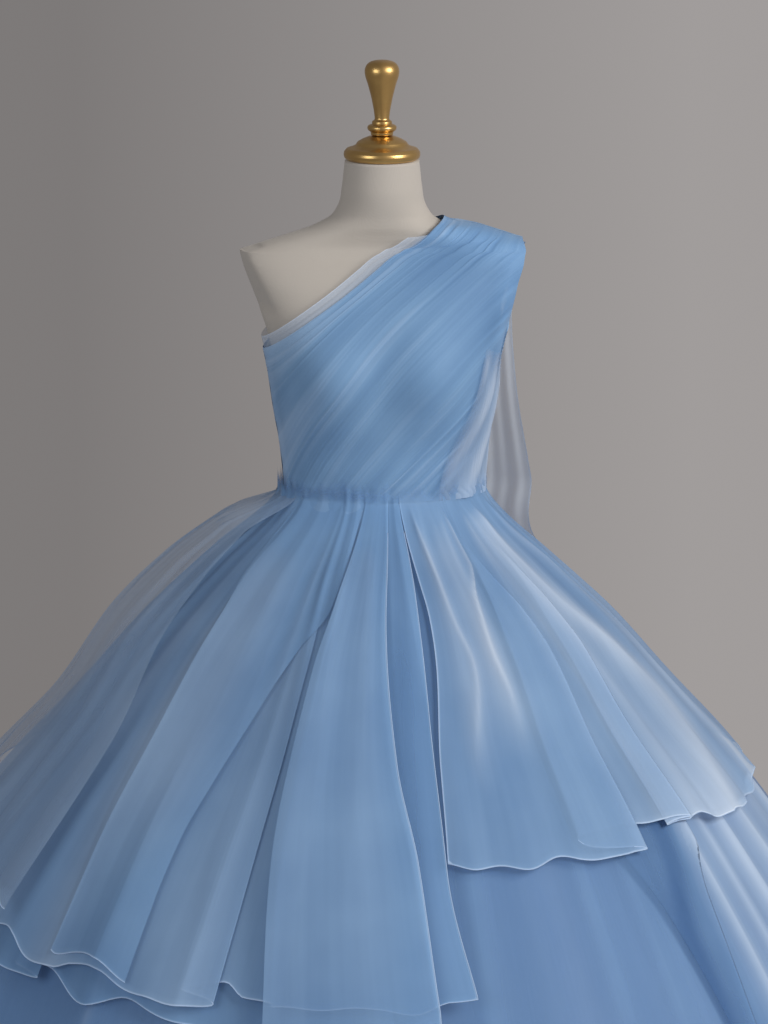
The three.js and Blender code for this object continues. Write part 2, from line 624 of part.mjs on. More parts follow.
// ---- the shoulder veil ----
// It is gathered behind the strap, falls clear of the back, and lies down the back of the skirt. Its two
// edges' places while it hangs free are given by height; below that it follows the skirt between two angles.
const VEIL_FREE = [
  { z: 990, innerX: 62, innerY: 268, outerX: 222, outerY: 196 },
  { z: 1100, innerX: 74, innerY: 192, outerX: 202, outerY: 142 },
  { z: 1200, innerX: 82, innerY: 146, outerX: 186, outerY: 110 },
  { z: 1300, innerX: 90, innerY: 122, outerX: 179, outerY: 102 },
  { z: 1370, innerX: 95, innerY: 98, outerX: 183, outerY: 82 },
  { z: 1404, innerX: 98, innerY: 84, outerX: 186, outerY: 66 },
];
const VEIL = { hemZ: 330, angles: [172, 128], layer: 4, leaves: 1060, lands: 930, seat: 14.9 };
const VEIL_COLUMNS = 7;
const VEIL_ROWS = 10;
function makeVeil() {
  const names = ["innerX", "innerY", "outerX", "outerY"];
  const [innerX, innerY, outerX, outerY] = names.map((name) => through(VEIL_FREE, name));
  const face = (more) => (u, v) => {
    const z = mix(VEIL_FREE[VEIL_FREE.length - 1].z, VEIL.hemZ, v);
    const lying = skirtPoint(mix(...VEIL.angles, u), z, VEIL.layer, more);
    const x = mix(innerX(z), outerX(z), u);
    const hanging = new THREE.Vector3(x, mix(innerY(z), outerY(z), u) + more, z);
    const seated = offBody(angleAt(x, z, 1), z, VEIL.seat + more, 1);
    return hanging.lerp(seated, smooth(1390, 1404, z)).lerp(lying, smooth(VEIL.leaves, VEIL.lands, z));
  };
  const ordered = (f) => (u, v) => f(1 - u, v);
  return wall(VEIL_COLUMNS, VEIL_ROWS, ordered(face(0)), ordered(face(SKIRT_CLOTH)));
}
addNode("shoulder_veil", makeVeil(), TULLE);

// ---- the zip's pull tab ----
// A small teardrop that hangs from the slider and swings out on it.
const PULL = { top: ZIP_TOP_Z - 14, long: 20, wide: 7, thick: 1.4, clear: 6.9 };
function makePull() {
  const shape = new THREE.Shape();
  shape.moveTo(-1.6, 0);
  shape.lineTo(1.6, 0);
  shape.lineTo(PULL.wide / 2, PULL.wide / 2 - PULL.long);
  shape.absarc(0, PULL.wide / 2 - PULL.long, PULL.wide / 2, 0, -Math.PI, true);
  const cut = { depth: PULL.thick, bevelEnabled: false, curveSegments: 8 };
  const plate = new THREE.ExtrudeGeometry(shape, cut);
  const seat = bodyPoint(180, PULL.top - PULL.long / 2);
  return plate.rotateX(Math.PI / 2).translate(0, seat.y + PULL.clear, PULL.top);
}
addNode("zip_pull", makePull(), GOLD);

export default gown;
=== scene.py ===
"""A one-shoulder ball gown on a limbless dress form, in cloth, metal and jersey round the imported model."""

import math

import bpy
import numpy as np
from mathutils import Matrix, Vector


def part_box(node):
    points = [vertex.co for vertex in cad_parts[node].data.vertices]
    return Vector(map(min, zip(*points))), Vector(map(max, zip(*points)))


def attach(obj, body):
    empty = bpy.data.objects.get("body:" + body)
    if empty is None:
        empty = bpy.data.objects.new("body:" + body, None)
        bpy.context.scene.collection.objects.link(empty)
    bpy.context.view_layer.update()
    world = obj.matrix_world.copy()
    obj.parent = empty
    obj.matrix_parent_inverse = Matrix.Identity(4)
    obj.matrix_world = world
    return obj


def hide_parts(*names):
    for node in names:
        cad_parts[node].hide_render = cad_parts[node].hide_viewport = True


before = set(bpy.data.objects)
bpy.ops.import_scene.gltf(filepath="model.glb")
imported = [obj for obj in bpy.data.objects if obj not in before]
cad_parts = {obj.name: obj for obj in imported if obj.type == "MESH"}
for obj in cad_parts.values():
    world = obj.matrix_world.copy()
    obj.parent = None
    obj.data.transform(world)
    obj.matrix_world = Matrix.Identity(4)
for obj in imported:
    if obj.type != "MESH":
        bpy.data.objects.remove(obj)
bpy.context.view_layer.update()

# ---- the torso ----
# A padded limbless torso from the hips to the neck, in off-white jersey drawn smooth. Both shoulders end in a
# flat oval plate where an arm would start. It carries the gown and never moves.

MM = 0.001  # shapes are worked out in millimetres and become metres when they are put into a mesh
GOWN = "gown_on_form"

# The body the gown is cut for, as horizontal sections: z, half width, half depth, centre and squareness.
BODY_SECTIONS = np.array([
    (862, 156, 106, 6, 2.2), (900, 164, 111, 6, 2.2), (960, 158, 105, 5, 2.2),
    (1020, 138, 92, 2, 2.1), (1075, 126, 86, 0, 2.1), (1130, 130, 89, -1, 2.1),
    (1190, 140, 96, -3, 2.2), (1250, 149, 101, -4, 2.2), (1300, 161, 97, -2, 2.3),
    (1350, 180, 85, 3, 2.5), (1385, 193, 68, 7, 2.6), (1404, 197, 56, 9, 2.5),
    (1414, 172, 53, 9, 2.4), (1426, 135, 54, 8, 2.3), (1440, 95, 56, 6, 2.1),
    (1456, 69, 56, 3, 2.0), (1480, 56, 54, -2, 2.0), (1526.7, 50, 50, -9, 2.0),
])
BUST = {"z": 1243, "x": 72, "height": 21, "wide": 56, "tall": 62}
FORM_FOOT_Z, NECK_TOP_Z, NECK_TOP_Y = 862, 1526.7, -9
SHOULDER_Z = 1404  # where the body is widest
EASE = 3.8  # how much smaller than that body the form is, away from the waist and the neck


def mix(a, b, share):
    """a and b blended: a at share 0, b at share 1."""
    return a + (b - a) * share


def smooth(start, end, x):
    """A soft step: 0 at start, 1 at end, level at both."""
    t = np.clip((x - start) / (end - start), 0, 1)
    return t * t * (3 - 2 * t)


def through(places, values):
    """A curve through a table with no overshoot: cubic pieces, whose slope at each row is the harmonic mean
    of the slopes on its two sides."""
    places, values = np.asarray(places, float), np.asarray(values, float)
    slopes = np.diff(values) / np.diff(places)
    before, after = slopes[:-1], slopes[1:]
    agree = before * after > 0
    inner = np.where(agree, 2 * before * after / np.where(agree, before + after, 1), 0)
    tangents = np.concatenate([slopes[:1], inner, slopes[-1:]])

    def curve(x):
        q = np.clip(x, places[0], places[-1])
        i = np.clip(np.searchsorted(places, q, side="right") - 1, 0, len(slopes) - 1)
        step = places[i + 1] - places[i]
        t = (q - places[i]) / step
        rest = 1 - t
        ends = values[i] * (1 + 2 * t) * rest**2 + values[i + 1] * t**2 * (3 - 2 * t)
        return ends + step * t * rest * (tangents[i] * rest - tangents[i + 1] * t)

    return curve


body_width, body_depth, body_centre, body_square = (
    through(BODY_SECTIONS[:, 0], BODY_SECTIONS[:, column]) for column in range(1, 5)
)


def signed_power(x, power):
    """x's size raised to a power, with x's sign kept."""
    return np.sign(x) * np.abs(x) ** power


def bust(x, z):
    """Two bell-shaped rises side by side, faded with height away from the bust line."""
    lobes = sum(np.exp(-(((x - side * BUST["x"]) / BUST["wide"]) ** 2)) for side in (-1, 1))
    return BUST["height"] * np.exp(-(((z - BUST["z"]) / BUST["tall"]) ** 2)) * lobes


def body_point(angle, z):
    """A superellipse at each height, with the bust added in front. The angle is 0 in front and 90 at +X."""
    sine, cosine = np.sin(np.radians(angle)), np.cos(np.radians(angle))
    power = 2 / body_square(z)
    x = body_width(z) * signed_power(sine, power)
    y = body_centre(z) - body_depth(z) * signed_power(cosine, power)
    y = y - bust(x, z) * smooth(0, 0.5, cosine)
    return np.stack(np.broadcast_arrays(x, y, z), -1)


def off_body(angle, z, distance, side=0):
    """The body's point moved out along its normal, and kept on its own side of the side seam: side is -1 in
    front and 1 behind."""
    step, seam_gap = 0.6, 0.3
    across = body_point(angle + step, z) - body_point(angle - step, z)
    up = body_point(angle, z + step) - body_point(angle, z - step)
    normal = np.cross(across, up)
    normal /= np.linalg.norm(normal, axis=-1, keepdims=True)
    point = body_point(angle, z) + normal * np.asarray(distance)[..., None]
    seam = body_centre(z) + side * seam_gap
    if side < 0:
        point[..., 1] = np.minimum(point[..., 1], seam)
    if side > 0:
        point[..., 1] = np.maximum(point[..., 1], seam)
    return point


def put_mesh(name, vertices, faces, uv=None, marks=None, body=GOWN):
    """An object with that mesh, smooth shaded, which rides on its body if it has one. uv and marks have a
    value a vertex."""
    mesh = bpy.data.meshes.new(name)
    mesh.from_pydata((vertices * MM).tolist(), [], faces)
    mesh.polygons.foreach_set("use_smooth", np.ones(len(mesh.polygons), bool))
    if uv is not None:
        corner = np.empty(len(mesh.loops), int)
        mesh.loops.foreach_get("vertex_index", corner)
        mesh.uv_layers.new(name="cloth").data.foreach_set("uv", uv[corner].ravel())
    for mark, values in (marks or {}).items():
        layer = mesh.attributes.new(mark, "FLOAT", "POINT")
        layer.data.foreach_set("value", np.asarray(values, np.float32).ravel())
    mesh.update()
    piece = bpy.data.objects.new(name, mesh)
    bpy.context.scene.collection.objects.link(piece)
    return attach(piece, body) if body else piece


def grid_faces(columns, rows, closed):
    """The quads of a grid of points, column by column. They face outwards where columns run round and rows
    run down."""
    i = np.arange(columns if closed else columns - 1)[:, None]
    j = np.arange(rows - 1)[None, :]
    here = i * rows + j
    beside = ((i + 1) % columns) * rows + j
    return np.stack([here, here + 1, beside + 1, beside], -1).reshape(-1, 4)


def closed_round(name, points, body=GOWN):
    """A solid from a grid that goes all the way round, with a point at its first and last row's centre."""
    columns, rows = points.shape[:2]
    centres = points[:, 0].mean(0)[None], points[:, -1].mean(0)[None]
    vertices = np.concatenate([points.reshape(-1, 3), *centres])
    top = columns * rows
    turn = np.arange(columns)
    after = (turn + 1) % columns
    lids = [np.stack([np.full(columns, top), turn * rows, after * rows], -1),
            np.stack([np.full(columns, top + 1), after * rows + rows - 1, turn * rows + rows - 1], -1)]
    faces = grid_faces(columns, rows, True).tolist() + lids[0].tolist() + lids[1].tolist()
    return put_mesh(name, vertices, faces, body=body)


class Value:
    """A shader socket that does sums: an expression on it adds the Math nodes that work it out."""

    def __init__(self, finish, socket):
        self.finish, self.socket = finish, socket

    def sum(self, operation, a, b=0.0, clamp=False):
        return self.finish.node("Math", {"operation": operation, "use_clamp": clamp}, {0: a, 1: b})

    def __add__(self, other):
        return self.sum("ADD", self, other)

    def __sub__(self, other):
        return self.sum("SUBTRACT", self, other)

    def __rsub__(self, other):
        return self.sum("SUBTRACT", other, self)

    def __mul__(self, other):
        return self.sum("MULTIPLY", self, other)

    __radd__, __rmul__ = __add__, __mul__

    def within(self):
        """Held between 0 and 1."""
        return self.sum("ADD", self, 0.0, clamp=True)


class Finish:
    """A material that is being made up. Its sheen and other constants are set on the shader's own sockets."""

    def __init__(self, name, **constants):
        self.material = bpy.data.materials.new(name)
        self.material.use_nodes = True
        self.tree = self.material.node_tree
        self.shader = next(n for n in self.tree.nodes if n.type == "BSDF_PRINCIPLED")
        for socket, value in constants.items():
            self.shader.inputs[socket.replace("_", " ")].default_value = value

    def node(self, kind, settings=None, values=None, output=0):
        """Adds a node of a type, with its settings first and then its sockets' values or links."""
        made = self.tree.nodes.new("ShaderNode" + kind)
        for setting, value in (settings or {}).items():
            setattr(made, setting, value)
        for socket, value in (values or {}).items():
            self.feed(made.inputs[socket], value)
        return Value(self, made.outputs[output])

    def feed(self, socket, value):
        if isinstance(value, Value):
            self.tree.links.new(value.socket, socket)
        else:
            socket.default_value = value

    def set(self, **sockets):
        for socket, value in sockets.items():
            self.feed(self.shader.inputs[socket.replace("_", " ")], value)

    def colours(self, share, first, second):
        """Two colours blended by a share."""
        first, second = (c if isinstance(c, Value) else (*c, 1) for c in (first, second))
        return self.node("Mix", {"data_type": "RGBA"}, {0: share, 6: first, 7: second}, output=2)

    def mark(self, name):
        """A number kept on the mesh's vertices."""
        return self.node("Attribute", {"attribute_name": name}, output=2)

    def noise(self, scale, stretch=(1, 1, 1), detail=3.0, uv=False):
        """Soft noise with that many grains to the metre, stretched along the axes."""
        place = self.node("TexCoord", output=2 if uv else 3)
        placed = self.node("Mapping", values={0: place, 3: stretch})
        return self.node("TexNoise", values={"Vector": placed, "Scale": scale, "Detail": detail})

    def weave(self, pitch, uv=True):
        """The height of threads that cross at that pitch in metres, from two sets of waves."""
        place = self.node("TexCoord", output=2 if uv else 3)
        period = 0.314  # of Blender's wave at a scale of 1
        waves = {"Vector": place, "Scale": period / pitch}
        warp, weft = (self.node("TexWave", {"bands_direction": axis}, waves, output=1) for axis in "XY")
        return warp * 0.5 + weft * 0.5

    def bump(self, height, strength, distance):
        relief = {"Height": height, "Strength": strength, "Distance": distance}
        self.set(Normal=self.node("Bump", values=relief))


def dress(piece, finish, slot, *nodes):
    """Gives a piece its finish and hides the CAD nodes it stands for. slot is not used."""
    piece.data.materials.append(finish.material)
    if nodes:
        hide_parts(*nodes)
    return piece


def form_ease(z):
    return EASE * smooth(1085, 1135, z) * smooth(1490, 1450, z)


def torso_points():
    """The body less its ease, cut off at each shoulder by a plate that leans back: the half width may not
    pass the body's, less a margin, plus a share of how far back the point is. The cut is rounded, and it is
    moved clear of the body above and below the plate."""
    plate_in, plate_lean, rounding, clear = 4, 0.45, 1.6, 60
    angle = np.linspace(0, 360, 208, endpoint=False)[:, None]
    z = np.concatenate([
        np.linspace(NECK_TOP_Z, 1462, 20), np.linspace(1460, 1380, 60), np.linspace(1376, FORM_FOOT_Z, 76),
    ])[None, :]
    points = off_body(angle, z, -form_ease(z + 0 * angle))
    x, y = points[..., 0], points[..., 1]
    reach = body_width(z) - plate_in + plate_lean * (y - body_centre(z))
    reach = reach + clear * smooth(1330, 1285, z) + clear * smooth(1412, 1430, z)
    over = np.abs(x) - reach
    cut = np.logaddexp(0, over / rounding) * rounding
    points[..., 0] = np.sign(x) * (np.abs(x) - cut)
    return points


jersey = Finish("off_white_jersey", Roughness=0.85, Sheen_Weight=0.12, Sheen_Roughness=0.5)
soil = jersey.noise(7, detail=4)
jersey.set(Base_Color=jersey.colours(soil, (0.445, 0.41, 0.37), (0.52, 0.485, 0.44)))
jersey.bump(jersey.weave(0.0011, uv=False) + jersey.noise(260, detail=2), 0.22, 0.0004)
torso = closed_round("torso", torso_points())
dress(torso, jersey, "form", "form_torso")

# ---- the cap and handle ----
# The neck is closed by a turned wooden disc with a rounded lip and a low dome, and a pear-shaped handle
# screws into it. Both are gilded and a little worn in random patches.

SEAM = 0.3  # between pieces that touch
CAP_HEIGHT = 33
CAP_Z = NECK_TOP_Z + SEAM
HANDLE_Z = CAP_Z + CAP_HEIGHT + SEAM
TURNED_SIDES = 96


def rounded(profile, radius):
    """A profile of straight lines with each corner replaced by a short quadratic curve."""
    profile = np.asarray(profile, float)
    before, corner, after = profile[:-2], profile[1:-1], profile[2:]
    span_in = np.linalg.norm(corner - before, axis=1, keepdims=True)
    span_out = np.linalg.norm(after - corner, axis=1, keepdims=True)
    start = corner + (before - corner) * np.minimum(radius / span_in, 0.48)
    end = corner + (after - corner) * np.minimum(radius / span_out, 0.48)
    t = np.linspace(0, 1, 6)[None, :, None]
    bend = start[:, None] * (1 - t) ** 2 + 2 * corner[:, None] * t * (1 - t) + end[:, None] * t**2
    return np.concatenate([profile[:1], bend.reshape(-1, 2), profile[-1:]])


def turned(name, profile, y, radius=1.2):
    """A profile of radius and height, from the top down, carried round the vertical through (0, y)."""
    profile = rounded(profile, radius)
    turn = np.radians(np.linspace(0, 360, TURNED_SIDES, endpoint=False))[:, None]
    r, z = profile[None, :, 0], profile[None, :, 1]
    points = np.stack(np.broadcast_arrays(r * np.sin(turn), y - r * np.cos(turn), z + 0 * turn), -1)
    return closed_round(name, points)


def gilding(name, bright, dull, roughness):
    """Metal leaf: worn patches are duller and rougher, and fine turning marks run round the piece."""
    gilt = Finish(name, Metallic=1.0)
    wear = gilt.noise(42, detail=5)
    marks = gilt.noise(30, stretch=(1, 1, 14), detail=3)
    gilt.set(Base_Color=gilt.colours(wear, dull, bright), Roughness=wear * -0.22 + (roughness + 0.14))
    gilt.bump(marks * 0.7 + wear * 0.6, 0.2, 0.0006)
    return gilt


gold_leaf = gilding("gold_leaf", (0.74, 0.50, 0.19), (0.47, 0.29, 0.11), 0.30)
CAP_PROFILE = [
    (1.5, CAP_HEIGHT), (17, 32.6), (26, 29), (33, 25), (34.5, 22.5), (36, 20.5), (41, 18), (47.5, 16.2),
    (51, 12), (51.6, 8), (50.6, 4), (47, 0.8), (43, 0), (1.5, 0),
]
HANDLE_PROFILE = [
    (1, 101.5), (9, 101), (16, 99), (20.5, 95.5), (23, 90), (23.4, 85), (22.4, 79), (19, 69), (14.5, 52),
    (11, 34), (9.5, 21.5), (13.2, 19.6), (13.6, 17), (13.2, 15.6), (18.6, 14), (20, 10.5), (18.6, 7),
    (15.2, 5.6), (15, 0), (1, 0),
]
cap = turned("neck_cap", [(r, z + CAP_Z) for r, z in CAP_PROFILE], NECK_TOP_Y)
dress(cap, gold_leaf, "gilt", "form_cap")
handle = turned("cap_handle", [(r, z + HANDLE_Z) for r, z in HANDLE_PROFILE], NECK_TOP_Y, radius=3)
dress(handle, gold_leaf, "gilt", "form_handle")

# ---- the stand ----
# A weighted disc on the floor, a plain pole and the socket that takes the torso, in brushed brass. The skirts
# hide all of it.

stand_brass = gilding("brushed_brass", (0.62, 0.45, 0.22), (0.46, 0.32, 0.15), 0.34)
BASE_PROFILE = [(1, 24), (26, 24), (30, 19), (60, 15), (171, 11), (175, 7), (175, 3), (172, 0), (1, 0)]
STAND = {
    "stand_foot_disc": ("stand_base", BASE_PROFILE),
    "stand_rod": ("stand_pole", [(1, 831.4), (14, 831.4), (14, 24.3), (1, 24.3)]),
    "stand_cup": ("stand_socket", [(1, 861.7), (27, 861.7), (27, 839.7), (19, 831.7), (1, 831.7)]),
}
for name, (node, profile) in STAND.items():
    dress(turned(name, profile, 0), stand_brass, "stand", node)

# ---- the bodice lining ----
# A fitted satin lining of three panels, one in front and one each side of the zip, sewn at the side seams. It
# slants from the near shoulder to under the far arm and is stretched smooth over the form.

WAIST_Z = 1075
BODICE_FOOT_Z = WAIST_Z + 0.6
NECKLINE_SIDE = (-155, 1274)  # x and z, in the front view
NECKLINE_SHOULDER_X = 82
STRAP_OUTER_X = 187
ARMHOLE_FOOT_Z = 1292
LINING_OFFSET = 2.4


def ridge_at(x):
    """The height of the shoulder's ridge over x: where the body is as wide as that."""
    z = np.linspace(1480, SHOULDER_Z, 1500)
    return np.interp(np.abs(x), body_width(z), z)


NECKLINE_TOP_Z = float(ridge_at(NECKLINE_SHOULDER_X))
NECKLINE_SLOPE = (NECKLINE_TOP_Z - NECKLINE_SIDE[1]) / (NECKLINE_SHOULDER_X - NECKLINE_SIDE[0])
STRAP_OUTER_Z = float(ridge_at(STRAP_OUTER_X))


def neckline_x(z):
    return NECKLINE_SIDE[0] + (z - NECKLINE_SIDE[1]) / NECKLINE_SLOPE


def neckline_z(x):
    return NECKLINE_SIDE[1] + (x - NECKLINE_SIDE[0]) * NECKLINE_SLOPE


def armhole_x(z):
    """A shallow curve from the strap's outer end to the side, 9 further in at its middle."""
    t = np.clip((STRAP_OUTER_Z - z) / (STRAP_OUTER_Z - ARMHOLE_FOOT_Z), 0, 1)
    return mix(STRAP_OUTER_X, body_width(ARMHOLE_FOOT_Z), t) - 9 * np.sin(np.pi * t)


def angle_at(x, z, side):
    """The angle of a place in the front view, on the front (side -1) or on the back (side 1)."""
    share = np.clip(np.abs(x) / body_width(z), 0, 1)
    turn = np.degrees(np.sign(x) * np.arcsin(share ** (body_square(z) / 2)))
    return turn if side < 0 else 180 - turn


def far_edge(z, side):
    return angle_at(np.maximum(-body_width(z), neckline_x(z)), z, side)


def near_edge(z, side, lap=3):
    whole = (z < ARMHOLE_FOOT_Z) | (z > STRAP_OUTER_Z)
    cut = np.minimum(armhole_x(z) - lap, body_width(z))
    return angle_at(np.where(whole, body_width(z), cut), z, side)


def panel_on_body(side, top, foot, columns, rows, edges, offset):
    """Rows at even heights, each running between two edges that are angles, at an offset from the body."""
    u = np.linspace(0, 1, columns)[:, None]
    z = np.linspace(top, foot, rows)[None, :] + 0 * u
    start, end = edges(z)
    share = u if side < 0 else 1 - u
    angle = mix(start, end, share)
    return off_body(angle, z, offset(angle, z, u) if callable(offset) else offset + 0 * z, side)


def lengths(points, axis):
    """The lengths of a grid's lines along one axis, in millimetres."""
    return np.linalg.norm(np.diff(points, axis=axis), axis=-1).sum(axis)


def area(points, closed=False):
    """A grid's area in square metres, from its quads' diagonals."""
    if closed:
        points = np.concatenate([points, points[:1]])
    one = points[1:, 1:] - points[:-1, :-1]
    other = points[1:, :-1] - points[:-1, 1:]
    return float(np.linalg.norm(np.cross(one, other), axis=-1).sum() / 2 * MM * MM)


FAR_FROM_EDGES = 1000.0


def edge_distance(points, hems):
    """How far each point is from the finished edges, in millimetres. hems names them: start and end for the
    first and last column, foot for the last row."""
    columns, rows = points.shape[:2]
    step = np.linalg.norm(np.diff(points, axis=1), axis=-1)
    down = np.concatenate([np.zeros((columns, 1)), np.cumsum(step, axis=1)], axis=1)
    step = np.linalg.norm(np.diff(points, axis=0), axis=-1)
    across = np.concatenate([np.zeros((1, rows)), np.cumsum(step, axis=0)], axis=0)
    reach = {"start": across, "end": across[-1:] - across, "foot": down[:, -1:] - down}
    distance = np.full((columns, rows), FAR_FROM_EDGES)
    for hem in hems:
        distance = np.minimum(distance, reach[hem])
    return distance


def cloth(name, points, finish, slot, node, marks=None, hems=(), closed=False, spare=1.0,
          rolled=()):
    """One cut piece of cloth from its grid. Its flat size comes from its longest lines across and down and
    from its area, times the spare cloth that its gathers take up. rolled names edges with a rolled hem."""
    columns, rows = points.shape[:2]
    u, v = np.meshgrid(np.linspace(0, 1, columns), np.linspace(0, 1, rows), indexing="ij")
    loop = np.concatenate([points, points[:1]]) if closed else points
    width = float(lengths(loop, 0).max()) * MM
    length = float(lengths(points, 1).max()) * MM
    flat_area = area(points, closed) * spare
    uv = np.stack([u * width, v * length], -1).reshape(-1, 2)
    marks = {"painted_light": 0 * u, "gather": 0 * u, **(marks or {})}
    marks["edge"] = edge_distance(points, hems)
    piece = put_mesh(name, points.reshape(-1, 3), grid_faces(columns, rows, closed).tolist(), uv, marks)
    dress(piece, finish, slot, node)
    with_pieces = [hem_roll(f"{name}_{edge}_hem", points, edge, closed, slot) for edge in rolled]
    width = min(max(width, flat_area / length), 2 * flat_area / length)


satin = Finish("blue_satin_lining", Roughness=0.5, Sheen_Weight=0.15, Sheen_Roughness=0.4)
slub = satin.noise(1, stretch=(240, 8, 1), detail=3, uv=True)
depth = satin.noise(6, detail=3)
satin_tone = satin.colours(slub, (0.21, 0.37, 0.61), (0.27, 0.45, 0.71))
satin.set(Base_Color=satin.colours(depth * 0.6, satin_tone, (0.17, 0.32, 0.56)))
satin.bump(satin.weave(0.0007) + slub, 0.15, 0.0002)

ZIP_HALF = 4
BESIDE_ZIP = ZIP_HALF + SEAM
BACK_NECK_Z = float(neckline_z(-BESIDE_ZIP))


def front_edges(z):
    return far_edge(z, -1), near_edge(z, -1)


def back_far_edges(z):
    return far_edge(z, 1), angle_at(-BESIDE_ZIP, z, 1)


def back_near_edges(z):
    return angle_at(np.maximum(BESIDE_ZIP, neckline_x(z)), z, 1), near_edge(z, 1)


LININGS = [  # piece, node, side, top, columns and edges
    ("front_lining", "bodice_front", -1, NECKLINE_TOP_Z - 2, 120, front_edges),
    ("back_lining_far", "bodice_back_left", 1, BACK_NECK_Z - 4, 60, back_far_edges),
    ("back_lining_near", "bodice_back_right", 1, NECKLINE_TOP_Z - 2, 70, back_near_edges),
]
for name, node, side, top, columns, edges in LININGS:
    points = panel_on_body(side, top, BODICE_FOOT_Z, columns, 110, edges, LINING_OFFSET)
    cloth(name, points, satin, "satin", node)

# ---- the zip ----
# A woven tape down the centre back with two rows of small coils, and a plated pull tab that hangs at its top.
# The slider isn't built. Only the tab moves: it swings out.

tape = Finish("zip_tape", Roughness=0.75, Sheen_Weight=0.1)
tape.set(Base_Color=tape.colours(tape.noise(300), (0.20, 0.34, 0.56), (0.26, 0.41, 0.64)))
tape.bump(tape.weave(0.0009), 0.4, 0.0003)
plated = gilding("plated_pull", (0.72, 0.52, 0.24), (0.52, 0.36, 0.16), 0.28)
COIL_PITCH = 4.2


def zip_edges(z):
    return angle_at(-ZIP_HALF + 0 * z, z, 1), angle_at(ZIP_HALF + 0 * z, z, 1)


def zip_relief(angle, z, u):
    """A raised pair of coils beside the middle line: a ridge across the tape, notched at an even pitch
    down it."""
    ridge = np.exp(-(((np.abs(u - 0.5) - 0.09) / 0.07) ** 2))
    return LINING_OFFSET - 0.2 + ridge * (0.75 + 0.25 * np.sin(z * 2 * np.pi / COIL_PITCH))


points = panel_on_body(1, BACK_NECK_Z - 6, BODICE_FOOT_Z, 25, 420, zip_edges, zip_relief)
cloth("zip_tape", points, tape, "zip_tape", "back_zip")

PULL_LOW, PULL_HIGH = (np.array(corner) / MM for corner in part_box("zip_pull"))


def pull_points():
    """A flat teardrop: rings set in from its outline to its two faces, so the rim is rounded over."""
    half, back, front = (PULL_HIGH[0] - PULL_LOW[0]) / 2, PULL_HIGH[1], PULL_LOW[1]
    turn = np.linspace(0, 2 * np.pi, 64, endpoint=False)
    low = PULL_LOW[2] + half
    neck = 1.6
    rise = np.clip(np.cos(turn), 0, 1) ** 0.8
    x = np.sin(turn) * mix(half, neck, rise)
    z = np.where(np.cos(turn) < 0, low + half * np.cos(turn), low + (PULL_HIGH[2] - low) * rise)
    inset = np.array([0.35, 0.9, 1.0, 1.0, 0.9, 0.35])[None, :]
    depth = np.array([back, back, back - 0.3, front + 0.3, front, front])[None, :]
    centre = low + 3
    return np.stack(np.broadcast_arrays(x[:, None] * inset, depth + 0 * x[:, None],
                                        centre + (z[:, None] - centre) * inset), -1)


pull = closed_round("zip_pull_tab", pull_points(), body="zip_pull")
dress(pull, plated, "zip_metal", "zip_pull")

# ---- the organza and the net ----
# Crisp, slightly see-through silk organza, dyed pale blue: denser where it is gathered and along its rolled
# hems.
# Its colour has a painted highlight on the crest of a fold and painted shade in its hollow, and the rolled
# hems are paler partly from the double cloth and partly from a painted highlight. The neck band and the
# shoulder veil are a thinner net of that colour.

# The pale band along a rolled hem is partly its double cloth and partly a painted highlight.
HEM_WIDTH = 2.6  # of the pale double cloth along a rolled hem


def organza(name, thread, shade, highlight_colour, cover, streak=0.22):
    """See-through cloth: its thread's colour, with painted shade in the hollow of a fold and a painted
    highlight on its crest and along its hems.
    cover is how much of what is behind a single layer it hides, and streak how far that varies."""
    fabric = Finish(name, Roughness=0.62, Sheen_Weight=0.18, Sheen_Roughness=0.45,
                    Sheen_Tint=(0.7, 0.82, 1.0, 1.0), Specular_IOR_Level=0.25)
    painted_light, gather, edge = (fabric.mark(mark) for mark in ("painted_light", "gather", "edge"))
    streaks = fabric.noise(1, stretch=(22, 1.1, 1), detail=4, uv=True)
    clouds = fabric.noise(4.5, detail=3)
    hem = (1 - edge * (1 / HEM_WIDTH)).within()
    inner = (1 - edge * (1 / (HEM_WIDTH * 4))).within()
    body = fabric.colours((clouds * 1.5 - 0.25).within(), shade, thread)
    body = fabric.colours((streaks * 0.9 - 0.25).within(), body, thread)
    # Painted shade in the hollows of folds.
    body = fabric.colours((painted_light * -0.8).within(), body, shade)
    # Painted highlight on the crests of folds and along the hems; the hems are also paler from their double
    # cloth.
    body = fabric.colours((painted_light * 0.75 + hem * 0.36 + inner * 0.06).within(), body, highlight_colour)
    hidden = gather * 0.30 + streaks * streak + clouds * 0.24 + hem * 0.38 + inner * 0.08 + painted_light * 0.14
    raw_edge = 1 - fabric.mark("faded").within()
    fabric.set(Base_Color=body, Alpha=(hidden + (cover - streak / 2 - 0.12)).within() * raw_edge)
    fabric.bump(fabric.weave(0.0008) + streaks, 0.10, 0.0003)
    return fabric


rolled_edge = Finish("rolled_hem", Roughness=0.55, Sheen_Weight=0.3, Sheen_Roughness=0.4)
twist = rolled_edge.noise(700, detail=2)
rolled_edge.set(Base_Color=rolled_edge.colours(twist, (0.33, 0.49, 0.73), (0.48, 0.62, 0.83)))
rolled_edge.bump(twist, 0.3, 0.0004)
HEM_STARTS_BELOW = 30  # the waist, because the edges above it are caught in the gathers
HEM_ROLL = 0.55  # radius of the roll


